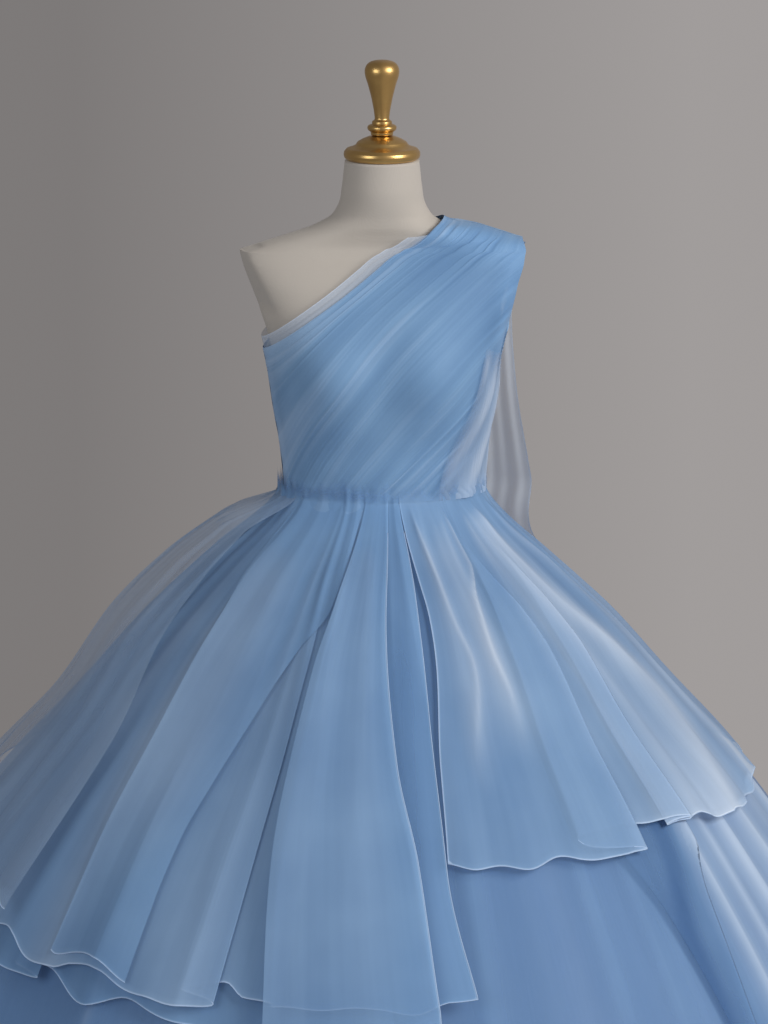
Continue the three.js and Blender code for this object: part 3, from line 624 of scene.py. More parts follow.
def hem_roll(name, points, edge, closed, slot):
    """A thin round roll carried along one edge of a grid, closed at its ends unless the edge is a ring."""
    path = {"start": points[0], "end": points[-1], "foot": points[:, -1]}[edge]
    path = path[path[:, 2] < WAIST_Z - HEM_STARTS_BELOW]
    ring = closed and edge == "foot"
    around = np.concatenate([path[-1:], path, path[:1]]) if ring else np.concatenate(
        [2 * path[:1] - path[1:2], path, 2 * path[-1:] - path[-2:-1]])
    along = around[2:] - around[:-2]
    along /= np.linalg.norm(along, axis=1, keepdims=True)
    side = np.cross(along, (0.31, 0.27, 0.91))
    side /= np.linalg.norm(side, axis=1, keepdims=True)
    third = np.cross(along, side)
    turn = np.linspace(0, 2 * np.pi, 6, endpoint=False)[:, None, None]
    tube = path + HEM_ROLL * (np.cos(turn) * side + np.sin(turn) * third)
    if ring:
        tube = np.concatenate([tube, tube[:, :1]], axis=1)
    roll = closed_round(name, tube[::-1])
    return dress(roll, rolled_edge, slot)


# ---- the neck band ----
# A double band of sheer net, folded over and set under the drape's upper edge, so that a narrow strip of it
# shows past the slanting neckline in front and behind.

net = organza("blue_net", (0.58, 0.72, 0.92), (0.50, 0.63, 0.84), (0.78, 0.86, 0.96), 0.42, streak=0.08)

BAND_OFFSET, BAND_UNDER, BAND_OVER = 5.7, 6, 19


def gather_lift(z):
    return 3.4 * smooth(1362, 1390, z)


def band_points(side):
    """Between two lines parallel to the neckline, with two soft folds along it."""
    low = float(neckline_z(-body_width(NECKLINE_SIDE[1]))) - BAND_UNDER + 6
    high = NECKLINE_TOP_Z - 16
    u = np.linspace(0, 1, 40)[:, None]
    z = mix(high, low, (1 - np.cos(np.pi * np.linspace(0, 1, 140))) / 2)[None, :] + 0 * u
    start = angle_at(np.maximum(-body_width(z), neckline_x(z - BAND_OVER)), z, side)
    end = angle_at(np.minimum(body_width(z), neckline_x(z + BAND_UNDER)), z, side)
    share = u if side < 0 else 1 - u
    fold = 0.7 * np.sin(share * 9 + z * 0.012) ** 2 * np.sin(np.pi * share)
    return off_body(mix(start, end, share), z, BAND_OFFSET + gather_lift(z) + fold, side), share


for side, name, node in ((-1, "neck_net_front", "neck_band_front"), (1, "neck_net_back", "neck_band_back")):
    points, share = band_points(side)
    # Painted highlight in two stripes along the band.
    painted_light = 0.35 * np.exp(-(((share - 0.32) / 0.06) ** 2)) + 0.25 * np.exp(-(((share - 0.6) / 0.05) ** 2))
    outer = "start" if side < 0 else "end"
    cloth(name, points, net, "sheer", node, {"painted_light": painted_light + 0 * points[..., 0]},
          hems=(outer,), spare=1.02)

# ---- the bodice drape ----
# Organza cut on the bias and laid in hand-caught pleats over the lining: from the gathered strap they fan out
# slantwise to the far side seam and the waist. The back is draped so too, one piece each side of the zip.

bodice_organza = organza("bodice_organza", (0.245, 0.425, 0.665), (0.13, 0.275, 0.52), (0.43, 0.58, 0.79),
                         0.84)

DRAPE_OFFSET = 7.5


def strap_lift(z):
    """How much more the drape stands out where the strap is gathered. It lies close at the neck end."""
    return gather_lift(z) * smooth(1445, 1425, z) - 3.8 * smooth(1427, 1443, z)


# Pleat lines in the front view, from the strap's neck end to the near side: each is a bent line from a start,
# past a control point, to an end. Columns: share across, start x z, control x z, end x z.
PLEAT_LINES = np.array([
    (0.00, 82, 1449, -36, 1361, -156, 1274),
    (0.08, 100, 1438, -60, 1345, -156, 1240),
    (0.16, 120, 1431, -85, 1325, -145, 1190),
    (0.24, 140, 1424, -90, 1298, -134, 1120),
    (0.32, 160, 1418, -78, 1268, -125, 1075.6),
    (0.42, 187, 1407, -45, 1238, -100, 1075.6),
    (0.52, 176, 1360, 0, 1215, -75, 1075.6),
    (0.62, 163, 1300, 40, 1180, -45, 1075.6),
    (0.74, 158, 1250, 75, 1155, -5, 1075.6),
    (0.86, 148, 1180, 95, 1125, 50, 1075.6),
    (1.00, 133, 1100, 120, 1085, 112, 1075.6),
])


def uneven_pleats(u, seed, count, crisp):
    """Knife pleats side by side at uneven widths: each rises quickly and falls slowly. Gives the height, from
    0 to 1."""
    rng = np.random.default_rng(seed)
    stops = np.concatenate([[0], np.cumsum(rng.uniform(0.45, 1.6, count))])
    stops /= stops[-1]
    which = np.clip(np.searchsorted(stops, u, side="right") - 1, 0, count - 1)
    share = (u - stops[which]) / (stops[which + 1] - stops[which])
    tall = (0.2 + 0.8 * rng.uniform(0, 1, count) ** 1.3)[which]
    rise = np.where(share < crisp, smooth(0, crisp, share), 1 - smooth(crisp, 1, share) ** 0.8)
    return rise * tall


def ripple(u, v, seed, across, down):
    """A sum of five slanting waves of random pitch, between -1 and 1."""
    rng = np.random.default_rng(seed)
    waves = [np.sin(u * across * a + v * down * b + c)
             for a, b, c in zip(rng.uniform(0.5, 1.5, 5), rng.uniform(-1, 1, 5), rng.uniform(0, 6.3, 5))]
    return sum(waves) / 5


def front_drape():
    """Each pleat line carried over the body at the drape's offset, with the pleats' relief across it."""
    u = np.linspace(0, 1, 360)[:, None]
    v = ((1 - np.cos(np.pi * np.linspace(0, 1, 130))) / 2)[None, :]
    share = PLEAT_LINES[:, 0]
    sway = u + 0.006 * ripple(u, v, 5, 30, 4) * np.sin(np.pi * v) * np.sin(np.pi * u)
    sx, sz, cx, cz, ex, ez = (through(share, PLEAT_LINES[:, column])(sway) for column in range(1, 7))
    sz = np.where(sx < STRAP_OUTER_X - 0.5, np.where(u < 0.42, ridge_at(sx), sz), sz)
    x = sx * (1 - v) ** 2 + 2 * cx * v * (1 - v) + ex * v**2
    z = sz * (1 - v) ** 2 + 2 * cz * v * (1 - v) + ez * v**2
    x = np.clip(x, -body_width(z), body_width(z))
    height = uneven_pleats(np.clip(u + 0.005 * ripple(u, v, 8, 12, 5), 0, 1), 21, 25, 0.24)
    held = mix(0.34, 1.0, smooth(0.20, 0.0, v)) * mix(0.75, 1.25, smooth(0.40, 0.95, v))
    held = mix(held, 0.9, smooth(0.62, 0.9, u))
    crease = np.abs(ripple(u, v, 3, 260, 9)) ** 0.7
    pucker = smooth(0.10, 0.0, v) * np.abs(ripple(u, v, 14, 420, 14))
    relief = (3.0 * height * held + 0.6 * crease + 1.6 * pucker) * smooth(0, 0.035, v)
    points = off_body(angle_at(x, z, -1), z, DRAPE_OFFSET + relief + strap_lift(z), -1)
    band = ripple(u + 0.05 * v, v, 77, 26, 3) + 0.6 * ripple(u - 0.12 * v, v, 78, 60, 6)
    # Painted highlight on the pleats' crests and painted shade between them, with slanting bands of painted
    # light and shade.
    painted_light = (height - 0.34) * 0.85 * held + 0.2 * (crease - 0.5) + 0.7 * pucker + 0.42 * band
    # Painted shade at the top of the pleats nearest the neck.
    painted_light = painted_light - 0.6 * smooth(0.4, 0, v) * smooth(0, 0.3, u)
    # Painted light low on the pleats that run to the far side.
    painted_light = painted_light + 0.4 * smooth(0.5, 0.95, v) * smooth(0.5, 0.2, u)
    return points, painted_light, smooth(0.12, 0, v) + smooth(0.9, 1, v) + 0 * u


points, painted_light, gather = front_drape()
cloth("front_drape", points, bodice_organza, "organza", "drape_front",
      {"painted_light": painted_light, "gather": gather}, hems=("start",), spare=1.25)


def back_drape(near):
    """Straight pleats from the neckline, strap and armhole down to the waist, closer together there."""
    u = np.linspace(0, 1, 220 if near else 160)[:, None]
    v = ((1 - np.cos(np.pi * np.linspace(0, 1, 100))) / 2)[None, :]
    beside_zip = 9
    waist_x = mix(beside_zip, float(body_width(WAIST_Z)), np.sin(u * np.pi / 2))
    if near:
        across = mix(beside_zip, NECKLINE_SHOULDER_X, np.clip(u * 3, 0, 1) ** 0.6)
        strap = mix(NECKLINE_SHOULDER_X, STRAP_OUTER_X, np.clip(u * 3 - 1, 0, 1))
        arm_z = mix(STRAP_OUTER_Z, ARMHOLE_FOOT_Z, np.clip(u * 3 - 2, 0, 1))
        x0 = np.where(u < 1 / 3, across, np.where(u < 2 / 3, strap, armhole_x(arm_z)))
        z0 = np.where(u < 1 / 3, neckline_z(across), np.where(u < 2 / 3, ridge_at(strap), arm_z))
    else:
        reach = (-beside_zip - NECKLINE_SIDE[0]) / (NECKLINE_SHOULDER_X - NECKLINE_SIDE[0])
        x0 = mix(NECKLINE_SIDE[0], NECKLINE_SHOULDER_X, np.sin(u * np.pi / 2) ** 2 * reach)
        z0 = neckline_z(x0)
        waist_x = -mix(beside_zip, float(body_width(WAIST_Z)), np.sin((1 - u) * np.pi / 2))
    x, z = mix(x0, waist_x, v), mix(z0, BODICE_FOOT_Z, v)
    height = uneven_pleats(np.clip(u + 0.004 * ripple(u, v, 18, 12, 5), 0, 1), 31 + near, 15, 0.25)
    crease = np.abs(ripple(u, v, 13, 150, 8)) ** 0.7
    relief = (3.0 * height + 0.7 * crease) * smooth(0, 0.035, v) * smooth(1452, 1420, z)
    points = off_body(angle_at(x, z, 1), z, DRAPE_OFFSET + relief + strap_lift(z), 1)[::-1]
    # Painted highlight on the pleats' crests and painted shade between them.
    painted_light = (height - 0.42) + 0.3 * (crease - 0.5)
    return points, painted_light[::-1], (smooth(0.12, 0, v) + smooth(0.9, 1, v) + 0 * u)[::-1]


for near, name, node, under in ((True, "back_drape_near", "drape_back_right", "back_lining_near"),
                                (False, "back_drape_far", "drape_back_left", "back_lining_far")):
    points, painted_light, gather = back_drape(near)
    cloth(name, points, bodice_organza, "organza", node,
          {"painted_light": painted_light, "gather": gather}, spare=1.25)


def side_drape():
    """A loose strip over the near side seam, from the armhole to the waist tuck, with soft folds that cross
    it slantwise and draw together at the foot."""
    u = np.linspace(0, 1, 120)[:, None]
    v = np.linspace(0, 1, 130)[None, :]
    angle = mix(mix(57, 33, smooth(0, 1, v)), mix(97, 112, v), u)
    z = mix(1282 - 10 * np.sin(np.pi * u), BODICE_FOOT_Z, v)
    slant = u * 1.0 + 0.55 * v
    fold = np.abs(np.sin(slant * 9.5 + 0.8 * ripple(u, v, 40, 3, 4))) ** 1.6
    fine = np.abs(ripple(u, v, 41, 70, 26))
    bunch = smooth(0.86, 1.0, v) * np.abs(np.sin(u * 38 + 2 * np.sin(v * 30)))
    relief = 3.2 * fold * np.sin(np.pi * np.clip(u * 0.96 + 0.02, 0, 1)) ** 0.4 + 1.0 * fine + 1.6 * bunch
    risen = smooth(0, 0.25, v) * smooth(1.02, 0.8, u)
    points = off_body(angle, z, DRAPE_OFFSET + mix(1.5, 4.6, smooth(0, 0.3, v)) + relief * mix(0.4, 1, risen))
    # Painted highlight on the folds, painted shade between them and at the bunched foot.
    painted_light = 0.9 * (fold - 0.35) + 0.4 * (fine - 0.4) - 0.7 * smooth(0.8, 1, v)
    return points, painted_light, smooth(0.8, 1, v) + 0 * u


side_organza = organza("side_organza", (0.43, 0.56, 0.75), (0.29, 0.43, 0.65), (0.66, 0.75, 0.89), 0.70)
points, painted_light, gather = side_drape()
inward, downward = (np.linspace(1, 0, count) for count in points.shape[:2])
faded = 0.85 * np.maximum(inward[:, None] ** 9, downward[None, :] ** 8)
cloth("side_drape", points, side_organza, "organza", "drape_side",
      {"painted_light": painted_light, "gather": gather, "faded": faded}, spare=1.2)

# ---- the underskirts ----
# A full floor-length satin skirt and an organza one over it, both gathered into the waist seam. Soft folds
# that all the layers share stand out more and more towards the hem.

# A darker copy of the skirt's organza: painted shade for where the tier shadows the underskirt.
shaded_under_organza = organza("underskirt_organza_painted_shade", (0.20, 0.36, 0.61), (0.075, 0.185, 0.42), (0.58, 0.71, 0.89),
                        0.56)

SKIRT_PROFILE = np.array([  # z and the innermost skirt's half width
    (12, 820), (100, 797), (200, 760), (300, 714), (400, 660), (500, 600), (600, 533), (700, 461), (800, 376),
    (900, 292), (950, 242), (1000, 190), (1040, 153), (1062, 136), (WAIST_Z, 128.5),
])
SKIRT_DEPTH = np.array([  # z and how deep the skirt is for its width, in front and behind
    (0, 0.94, 1.08), (900, 0.93, 1.05), (1000, 0.88, 0.95), (WAIST_Z, 0.69, 0.69),
])
SHARED_FOLDS = [  # angle, width in degrees and how far each stands out at the floor
    (-172, 13, 27), (-146, 12, 34), (-118, 14, 28), (-88, 13, 32), (-58, 12, 27), (-33, 11, 23), (-5, 12, 30),
    (24, 12, 27), (47, 11, 25), (74, 13, 30), (103, 12, 34), (132, 14, 26), (160, 12, 32),
]
PITCH_WAIST, PITCH_FULL = 2.9, 11  # from one layer to the next, at the waist and lower down

skirt_radius = through(SKIRT_PROFILE[:, 0], SKIRT_PROFILE[:, 1])
skirt_front = through(SKIRT_DEPTH[:, 0], SKIRT_DEPTH[:, 1])
skirt_back = through(SKIRT_DEPTH[:, 0], SKIRT_DEPTH[:, 2])


def turn_from(angle, centre):
    """The angle from a centre, the short way round."""
    return (angle - centre + 540) % 360 - 180


def bells(rows, angle, power):
    """Bell-shaped rises round the skirt, added up: each row has an angle, a width and a height."""
    return sum(tall * np.exp(-(np.abs(turn_from(angle, at) / wide) ** power)) for at, wide, tall in rows)


def skirt_point(angle, z, out):
    """An ellipse at each height, deeper behind, plus the shared folds and the layer's own distance out."""
    sine, cosine = np.sin(np.radians(angle)), np.cos(np.radians(angle))
    radius = skirt_radius(z)
    x = radius * sine
    y = -radius * np.where(cosine > 0, skirt_front(z), skirt_back(z)) * cosine
    grow = 1 + (bells(SHARED_FOLDS, angle, 2) * smooth(1030, 250, z) + out) / np.hypot(x, y)
    return np.stack(np.broadcast_arrays(x * grow, y * grow, z), -1)


def fallen(z):
    """How far below the waist a height is, as a share of the way to the knee."""
    return (WAIST_Z - z) / 600


def own_creases(angle, z, layer):
    """A layer's own soft creases, between -1 and 1: bells at uneven angles that start at the waist, drift and
    widen as they fall, and die out at uneven heights."""
    rng = np.random.default_rng(700 + layer)
    count = 34
    centres = np.linspace(-180, 180, count, endpoint=False) + rng.uniform(-5.0, 5.0, count)
    total = 0
    drop = fallen(z)
    for centre, drift, wide, tall, end in zip(
        centres, rng.normal(0, 4.0, count), rng.uniform(1.6, 6.0, count), rng.uniform(0.1, 0.9, count),
        rng.uniform(0.35, 1.9, count),
    ):
        away = turn_from(angle, centre + drift * drop) / (wide * (0.75 + 0.9 * drop))
        total = total + tall * np.exp(-np.abs(away) ** 1.5) * smooth(end, end * 0.45, drop)
    return np.tanh(1.5 * (total - 0.36))


def stand_off(angle, z, layer):
    """How far a layer lies outside the lining: a pitch for each layer beneath, each made wider or narrower by
    that layer's creases but never closed."""
    pitch = mix(PITCH_WAIST, PITCH_FULL, smooth(WAIST_Z, 985, z))
    gaps = [pitch * (1 + 0.42 * own_creases(angle, z, below)) for below in range(1, layer + 1)]
    return 1 + sum(gaps) + 0 * angle


def skirt_rows(hem_z, count):
    """Heights from the waist to a hem, closer together at the waist. hem_z may differ between columns."""
    share = np.linspace(0, 1, count)[None, :] ** 1.35
    return mix(WAIST_Z, hem_z, share)


def hem_wave(angle, z, hem_z, seed, far):
    """A flutter that grows over the last hand's breadth above the hem, always outwards."""
    near = smooth(170, 0, z - hem_z)
    return far * near * (0.5 + 0.5 * ripple(angle / 10, 0 * angle, seed, 5, 0) * 1.8)


UNDER_FALLS = [  # angle, width and height: soft ones in front, crisper ones at the near side, then all round
    (13, 2.2, 0.9), (20.5, 2.8, 0.6), (29, 2.4, 1.0), (37, 1.8, 0.7),
    (52, 1.0, 0.9), (57.5, 0.9, 0.7), (63, 1.2, 1.0), (70, 1.5, 0.8),
    (-24, 2.4, 0.7), (-36, 2.2, 0.9), (-52, 2.4, 0.8), (-66, 2.0, 0.7), (88, 2.2, 0.8), (112, 2.4, 0.9),
    (139, 2.2, 0.7), (166, 2.4, 0.9), (-96, 2.2, 0.8), (-127, 2.4, 0.9), (-158, 2.2, 0.8),
]
UNDER_LIGHT = [  # angle, width and how much painted light or, below zero, painted shade the organza gets low down
    (60, 15, 0.75), (80, 16, 0.8), (24, 15, -0.8), (-66, 22, -0.6),
]


def under_falls(angle, z):
    """Upright falls that show below the overskirt."""
    return bells(UNDER_FALLS, angle, 1.4) * smooth(860, 640, z)


def round_skirt(layer, hem_z, columns, rows, turned_back=(), far=0):
    """A layer that goes all the way round."""
    u = np.linspace(-180, 180, columns, endpoint=False)
    for at, wide, turn in turned_back:
        u = np.sort(np.concatenate([u, at + wide * np.linspace(-2.2, 2.2, 26)]))
    plain = u[:, None]
    z = skirt_rows(hem_z + 0 * plain, rows)
    angle, lift = plain + 0 * z, 0 * z
    for at, wide, turn in turned_back:
        s = (plain - at) / wide
        angle = angle - 2.33 * turn(z) * s * np.exp(-s * s)
        lift = lift + 7 * (1 - np.tanh(1.6 * s)) / 2 * np.exp(-((s / 3) ** 2)) * smooth(WAIST_Z, 880, z)
    falls = under_falls(angle, z)
    below_tier = smooth(760, 700, z)
    # Painted shade in the dark wedge beside the underskirt's turned-back fold.
    hollow_at = mix(42.5, 46.5, smooth(550, 690, z))
    painted_hollow_shade = np.exp(-((turn_from(angle, hollow_at) / 1.7) ** 2)) * below_tier
    out = stand_off(angle, z, layer) + lift + 9 * falls + hem_wave(angle, z, hem_z, 60 + layer, far)
    lit = bells(UNDER_LIGHT, angle, 2) * below_tier
    # Painted highlight and shade from the creases and falls, painted shade in the hollow, and the painted
    # light and shade of UNDER_LIGHT below the tier.
    painted_light = 0.3 * own_creases(angle, z, layer) + 0.85 * (falls - 0.4) - 1.1 * painted_hollow_shade + lit
    return skirt_point(angle, z, out), painted_light, smooth(960, WAIST_Z, z)


LINING_HEM_Z, ORGANZA_HEM_Z = 12, 22
SATIN_OUT = 0.6  # how far the satin lies outside the skirt's profile
angle = np.linspace(-180, 180, 260, endpoint=False)[:, None]
points = skirt_point(angle, skirt_rows(LINING_HEM_Z + 0 * angle, 100), SATIN_OUT)
cloth("satin_underskirt", points, satin, "satin", "skirt_lining", hems=("foot",),
      closed=True, spare=1.1, rolled=("foot",))

UNDERSKIRT_FOLD = [(45.0, 2.0, through([400, 490, 600, 700, 900, 1075], [2.5, 3.4, 5.5, 9.5, 4, 0]))]
points, painted_light, gather = round_skirt(1, ORGANZA_HEM_Z, 340, 130, UNDERSKIRT_FOLD, 6)
cloth("organza_underskirt", points, shaded_under_organza, "organza", "skirt_organza",
      {"painted_light": painted_light, "gather": gather}, hems=("foot",), closed=True, spare=1.15,
      rolled=("foot",))

# ---- the overskirt ----
# Shorter organza panels of uneven length, each gathered into the waist seam and lapped over the next: a tier
# on the near side, two wide panels, a narrow and a sheer one on the far side, and two narrow ones in front.

# The pale blue of the painted highlights on the skirt's organza and the sheer organza.
PALE = (0.58, 0.70, 0.87)
skirt_organza = organza("blue_organza", (0.265, 0.455, 0.72), (0.135, 0.29, 0.56), PALE, 0.56)
# A paler copy of the skirt's organza, as painted light: used on the near tier and on the far panel.
tier_organza_painted_light = organza("tier_organza_painted_light", (0.31, 0.49, 0.745), (0.17, 0.34, 0.61), (0.64, 0.75, 0.90), 0.56)
sheer_organza = organza("sheer_blue_organza", (0.36, 0.50, 0.70), (0.25, 0.38, 0.58), PALE, 0.40)


def tier_folds(angle, z):
    """Two sharp folds that run down from the waist tuck and open into soft ones, and a broad one at the side.
    Each follows its own line of angles down the skirt."""
    lines = [  # angles by height from the waist down, width, height and where it ends
        (through([800, 856, 910, 966, 1008, 1075], [27.5, 28, 27.0, 28.5, 33.5, 31]), 0.95, 8, 840),
        (through([760, 1075], [26.5, 29]), 2.6, 4, 830),
        (through([780, 802, 904, 944, 998, 1075], [17, 17.5, 21.5, 20.0, 18.5, 14]), 0.95, 7, 800),
        (through([760, 1075], [19, 18]), 2.4, 3, 780),
        (through([640, 714, 818, 882, 948, 1075], [60, 66, 71.5, 68, 60.5, 52]), 4.6, 11, 600),
        (through([640, 800, 948, 1075], [53, 57, 53, 46]), 3.2, 6, 600),
        (through([640, 800, 948, 1075], [84, 84, 80, 70]), 3.0, 6, 600),
        (through([640, 800, 948, 1075], [46, 48, 47, 41]), 2.4, 4, 600),
        (through([700, 900, 1075], [26, 25.5, 24]), 3.4, 4, 820),
    ]
    total = 0
    for line, wide, tall, end in lines:
        spread = wide * (1 + 0.9 * fallen(z))
        away = np.abs(turn_from(angle, line(z))) / spread
        total = total + tall / 10 * np.exp(-(away**1.35)) * smooth(end - 60, end + 90, z)
    return total * smooth(1078, 1045, z)


def no_folds(angle, z):
    return 0 * angle


def far_folds(angle, z):
    """One broad fold that catches the light beside the front panels, and two quieter ones further round; all
    three also carry a painted highlight.
    """
    return bells([(-24, 8, 0.3), (-58, 4, 0.35), (-44, 5, 0.5)], angle, 1.8) * smooth(1040, 900, z)


def lapped_folds(angle, z):
    """A broad fold down the narrow panel's middle that flattens towards its hem."""
    return 0.5 * np.exp(-(np.abs((angle + 36) / 8) ** 1.8)) * smooth(1050, 970, z) * smooth(600, 800, z)


def front_shade_strip(angle, z):
    """Painted shade on a strip beside the front panel's right edge: it darkens the cloth there and leaves its
    shape alone.
    """
    return -0.9 * np.exp(-(((angle - 4.6) / 3.4) ** 2)) * smooth(1000, 880, z)


# Each panel's row: the node it stands for, the pieces under it, its finish, its rolled edges, and its shape.
# That has the layer it lies on, its grid, its two edges as angles by height, its hem's height by angle, and
# what overskirt_panel says of the rest.
PANELS = {
    "near_tier": dict(
        node="tier_right", over=["organza_underskirt"], finish=tier_organza_painted_light, edges=("start", "foot"),
        shape=dict(
            layer=2, grid=(250, 120),
            start=([672, 790, 952, 992, 1075], [9.5, 10.5, 13.5, 12.5, 9]), end=([600, 1075], [178.6, 177.6]),
            hem=([8, 17, 26.5, 34, 35.6, 37, 41.5, 54, 70, 93, 136, 178.6],
                 [680, 673, 677, 671, 680, 700, 702, 690, 678, 688, 650, 620]),
            turned_back=[(35.5, 1.5, 6.6), (49.5, 1.4, 3.6)], flutter=7, folds=tier_folds)),
    "far_under_panel": dict(
        node="panel_left_under", over=["organza_underskirt"], finish=skirt_organza, edges=("foot",),
        shape=dict(
            layer=2, grid=(250, 110), start=([590, 1075], [-178.6, -177.6]), end=([480, 1075], [2, -9]),
            hem=([-178.6, -118, -90, -58, -50, -44, -36, -30, -22, 2],
                 [590, 560, 545, 530, 512, 524, 500, 512, 492, 486]),
            turned_back=[(-47, 1.5, 3.5)], flutter=9)),
    "far_panel": dict(
        node="panel_left", over=["far_under_panel"], finish=tier_organza_painted_light, edges=("foot",),
        shape=dict(
            layer=3, grid=(250, 110), start=([590, 1075], [-178.6, -177.6]), end=([500, 1075], [-12, -7]),
            hem=([-178.6, -136, -95, -70, -54, -45, -43, -40.5, -36, -29, -23.5, -21.5, -19, -16.5, -12],
                 [620, 604, 578, 568, 556, 530, 531, 540, 542, 520, 520, 534, 548, 534, 528]),
            turned_back=[(-22.0, 1.2, 3.0)], flutter=9, folds=far_folds)),
    "far_lapped_panel": dict(
        node="panel_left_fold", over=["far_panel"], finish=skirt_organza, edges=("foot",),
        shape=dict(
            layer=4, grid=(120, 150), start=([534, 806, 948, 1066, 1075], [-44, -44.5, -45.5, -51, -51]),
            end=([538, 630, 698, 754, 826, 916, 962, 1075], [-31, -31, -30.5, -29, -26, -20, -14, -10]),
            hem=([-46, -43, -40.5, -36, -31], [566, 548, 552, 556, 538]), flutter=7, folds=lapped_folds)),
    "far_sheer_panel": dict(
        node="panel_left_sheer", over=["far_panel"], finish=sheer_organza, edges=("foot",),
        shape=dict(
            layer=4, grid=(160, 100), start=([640, 1075], [-148, -150]),
            end=([596, 718, 942, 1075], [-52, -51, -53.5, -54]),
            hem=([-148, -110, -80, -68, -61, -56, -52], [640, 645, 628, 606, 598, 602, 590]),
            puff=45, flutter=9)),
    "front_under_panel": dict(
        node="panel_front_under", over=["far_panel", "near_tier"], finish=skirt_organza,
        edges=("end", "foot"),
        shape=dict(
            layer=4, grid=(110, 160), start=([514, 766, 906, 1075], [-12.5, -14.5, -13.5, -8.5]),
            end=([538, 678, 820, 1014, 1075], [11, 9, 9, 9.8, 9]),
            hem=([-14, 0, 4, 8, 11], [528, 530, 522, 536, 538]), flutter=4, folds=front_shade_strip)),
    "front_panel": dict(
        node="panel_front", over=["front_under_panel"], finish=skirt_organza, edges=("end", "foot"),
        shape=dict(
            layer=5, grid=(110, 160), start=([514, 766, 906, 970, 1075], [-13, -15.5, -14.5, -12.5, -8.5]),
            end=([528, 690, 798, 944, 1075], [6.5, 5, 2.5, 1.0, 3.0]),
            hem=([-14.5, -8, -2, 3, 6.5], [500, 494, 498, 506, 502]), flutter=4)),
}


WAIST_LAP = 26  # how far a panel's gathered top runs up over the bodice's foot
CLEAR_OF_DRAPE, CLEAR_BELOW = 13, 70  # how far a top stands out to pass over the drape's foot, and from where
HEM_WANDER = 6  # how unevenly a hem is cut


def overskirt_panel(seed, layer, grid, start, end, hem, flutter, turned_back=(), puff=0, folds=no_folds):
    """Columns run from the panel's start edge to its end edge at each height. flutter is how far the hem
    waves, turned_back has the angle, width and turn of each fold turned back on itself, puff is how far the
    panel stands off under the waist, and folds gives its placed folds. Where the cloth is turned back its
    angle runs on, back and on again, and the part in front is lifted off the part behind."""
    columns, rows = grid
    low, high = start[1][0], end[1][0]
    share = np.linspace(0, 1, columns)
    for at, wide, turn in turned_back:
        centre = (at - low) / (high - low)
        share = np.sort(np.concatenate([share, centre + wide / (high - low) * np.linspace(-2.3, 2.3, 28)]))
    u = share[:, None]
    plain = mix(low, high, u)
    hem_z = through(*hem)(plain) + HEM_WANDER * ripple(plain / 10, 0 * plain, seed + 40, 6, 0)
    lap = WAIST_LAP * (0.9 + 0.8 * ripple(plain / 10, 0 * plain, seed, 5, 0))
    z = mix(WAIST_Z + lap, hem_z, np.linspace(0, 1, rows)[None, :] ** 1.3)
    angle = mix(through(*start)(z), through(*end)(z), u)
    lift = 0 * angle
    for at, wide, turn in turned_back:
        s = (plain - at) / wide
        opened = smooth(WAIST_Z, 900, z)
        angle = angle - 2.33 * turn * opened * s * np.exp(-s * s)
        lift = lift + 6 * opened * (1 - np.tanh(1.6 * s)) / 2 * np.exp(-((s / 3) ** 2))
    placed = folds(angle, z)
    lift = lift + puff * smooth(WAIST_Z, 1035, z) * mix(1, 0.4, smooth(960, 780, z))
    lift = lift + max(0.0, CLEAR_OF_DRAPE - PITCH_WAIST * layer) * smooth(WAIST_Z - CLEAR_BELOW, WAIST_Z, z)
    lift = lift + np.maximum(0, body_width(z) - body_width(WAIST_Z)) * (z > WAIST_Z)
    lift = lift + 10 * np.maximum(placed, 0) + 7 * under_falls(angle, z)
    lift = lift + hem_wave(angle, z, hem_z, seed, flutter)
    # Painted highlight and shade from the creases, painted highlight on the placed folds and painted shade
    # where they fall below zero.
    painted_light = 0.22 * own_creases(angle, z, layer) * smooth(1085, 1040, z) + 0.9 * placed
    marks = {
        # Painted shade towards the waist.
        "painted_light": painted_light - 0.4 * smooth(1010, 1070, z),
        "gather": 0.6 * smooth(985, WAIST_Z, z),
        "faded": smooth(WAIST_Z - 2, WAIST_Z + np.maximum(lap, 9), z),
    }
    return skirt_point(angle, z, stand_off(angle, z, layer) + lift), marks


for seed, (name, row) in enumerate(PANELS.items(), start=80):
    points, marks = overskirt_panel(seed, **row["shape"])
    cloth(name, points, row["finish"], "organza", row["node"], marks,
          hems=row["edges"], spare=1.15, rolled=row["edges"])

# ---- the shoulder veil ----
# A long strip of the sheer net, gathered behind the strap, that falls clear of the back and lies down the
# skirt with a rolled hem.

# A much paler copy of the neck band's net: painted light on the veil, which faces away from the key light.
veil_net_painted_light = organza("veil_net_painted_light", (0.80, 0.90, 1.0), (0.70, 0.82, 1.0), (0.92, 0.96, 1.0), 0.44, streak=0.08)

VEIL_FREE = np.array([  # z, then x and y of the inner edge and of the outer edge
    (990, 62, 268, 222, 196), (1100, 74, 192, 202, 142), (1200, 82, 146, 186, 110), (1300, 90, 122, 179, 102),
    (1370, 95, 98, 183, 82), (1404, 98, 84, 186, 66),
])
VEIL_HEM_Z, VEIL_ANGLES, VEIL_LAYER = 330, (172, 128), 4
VEIL_SEAT = 15.4  # off the body, where it is sewn behind the strap


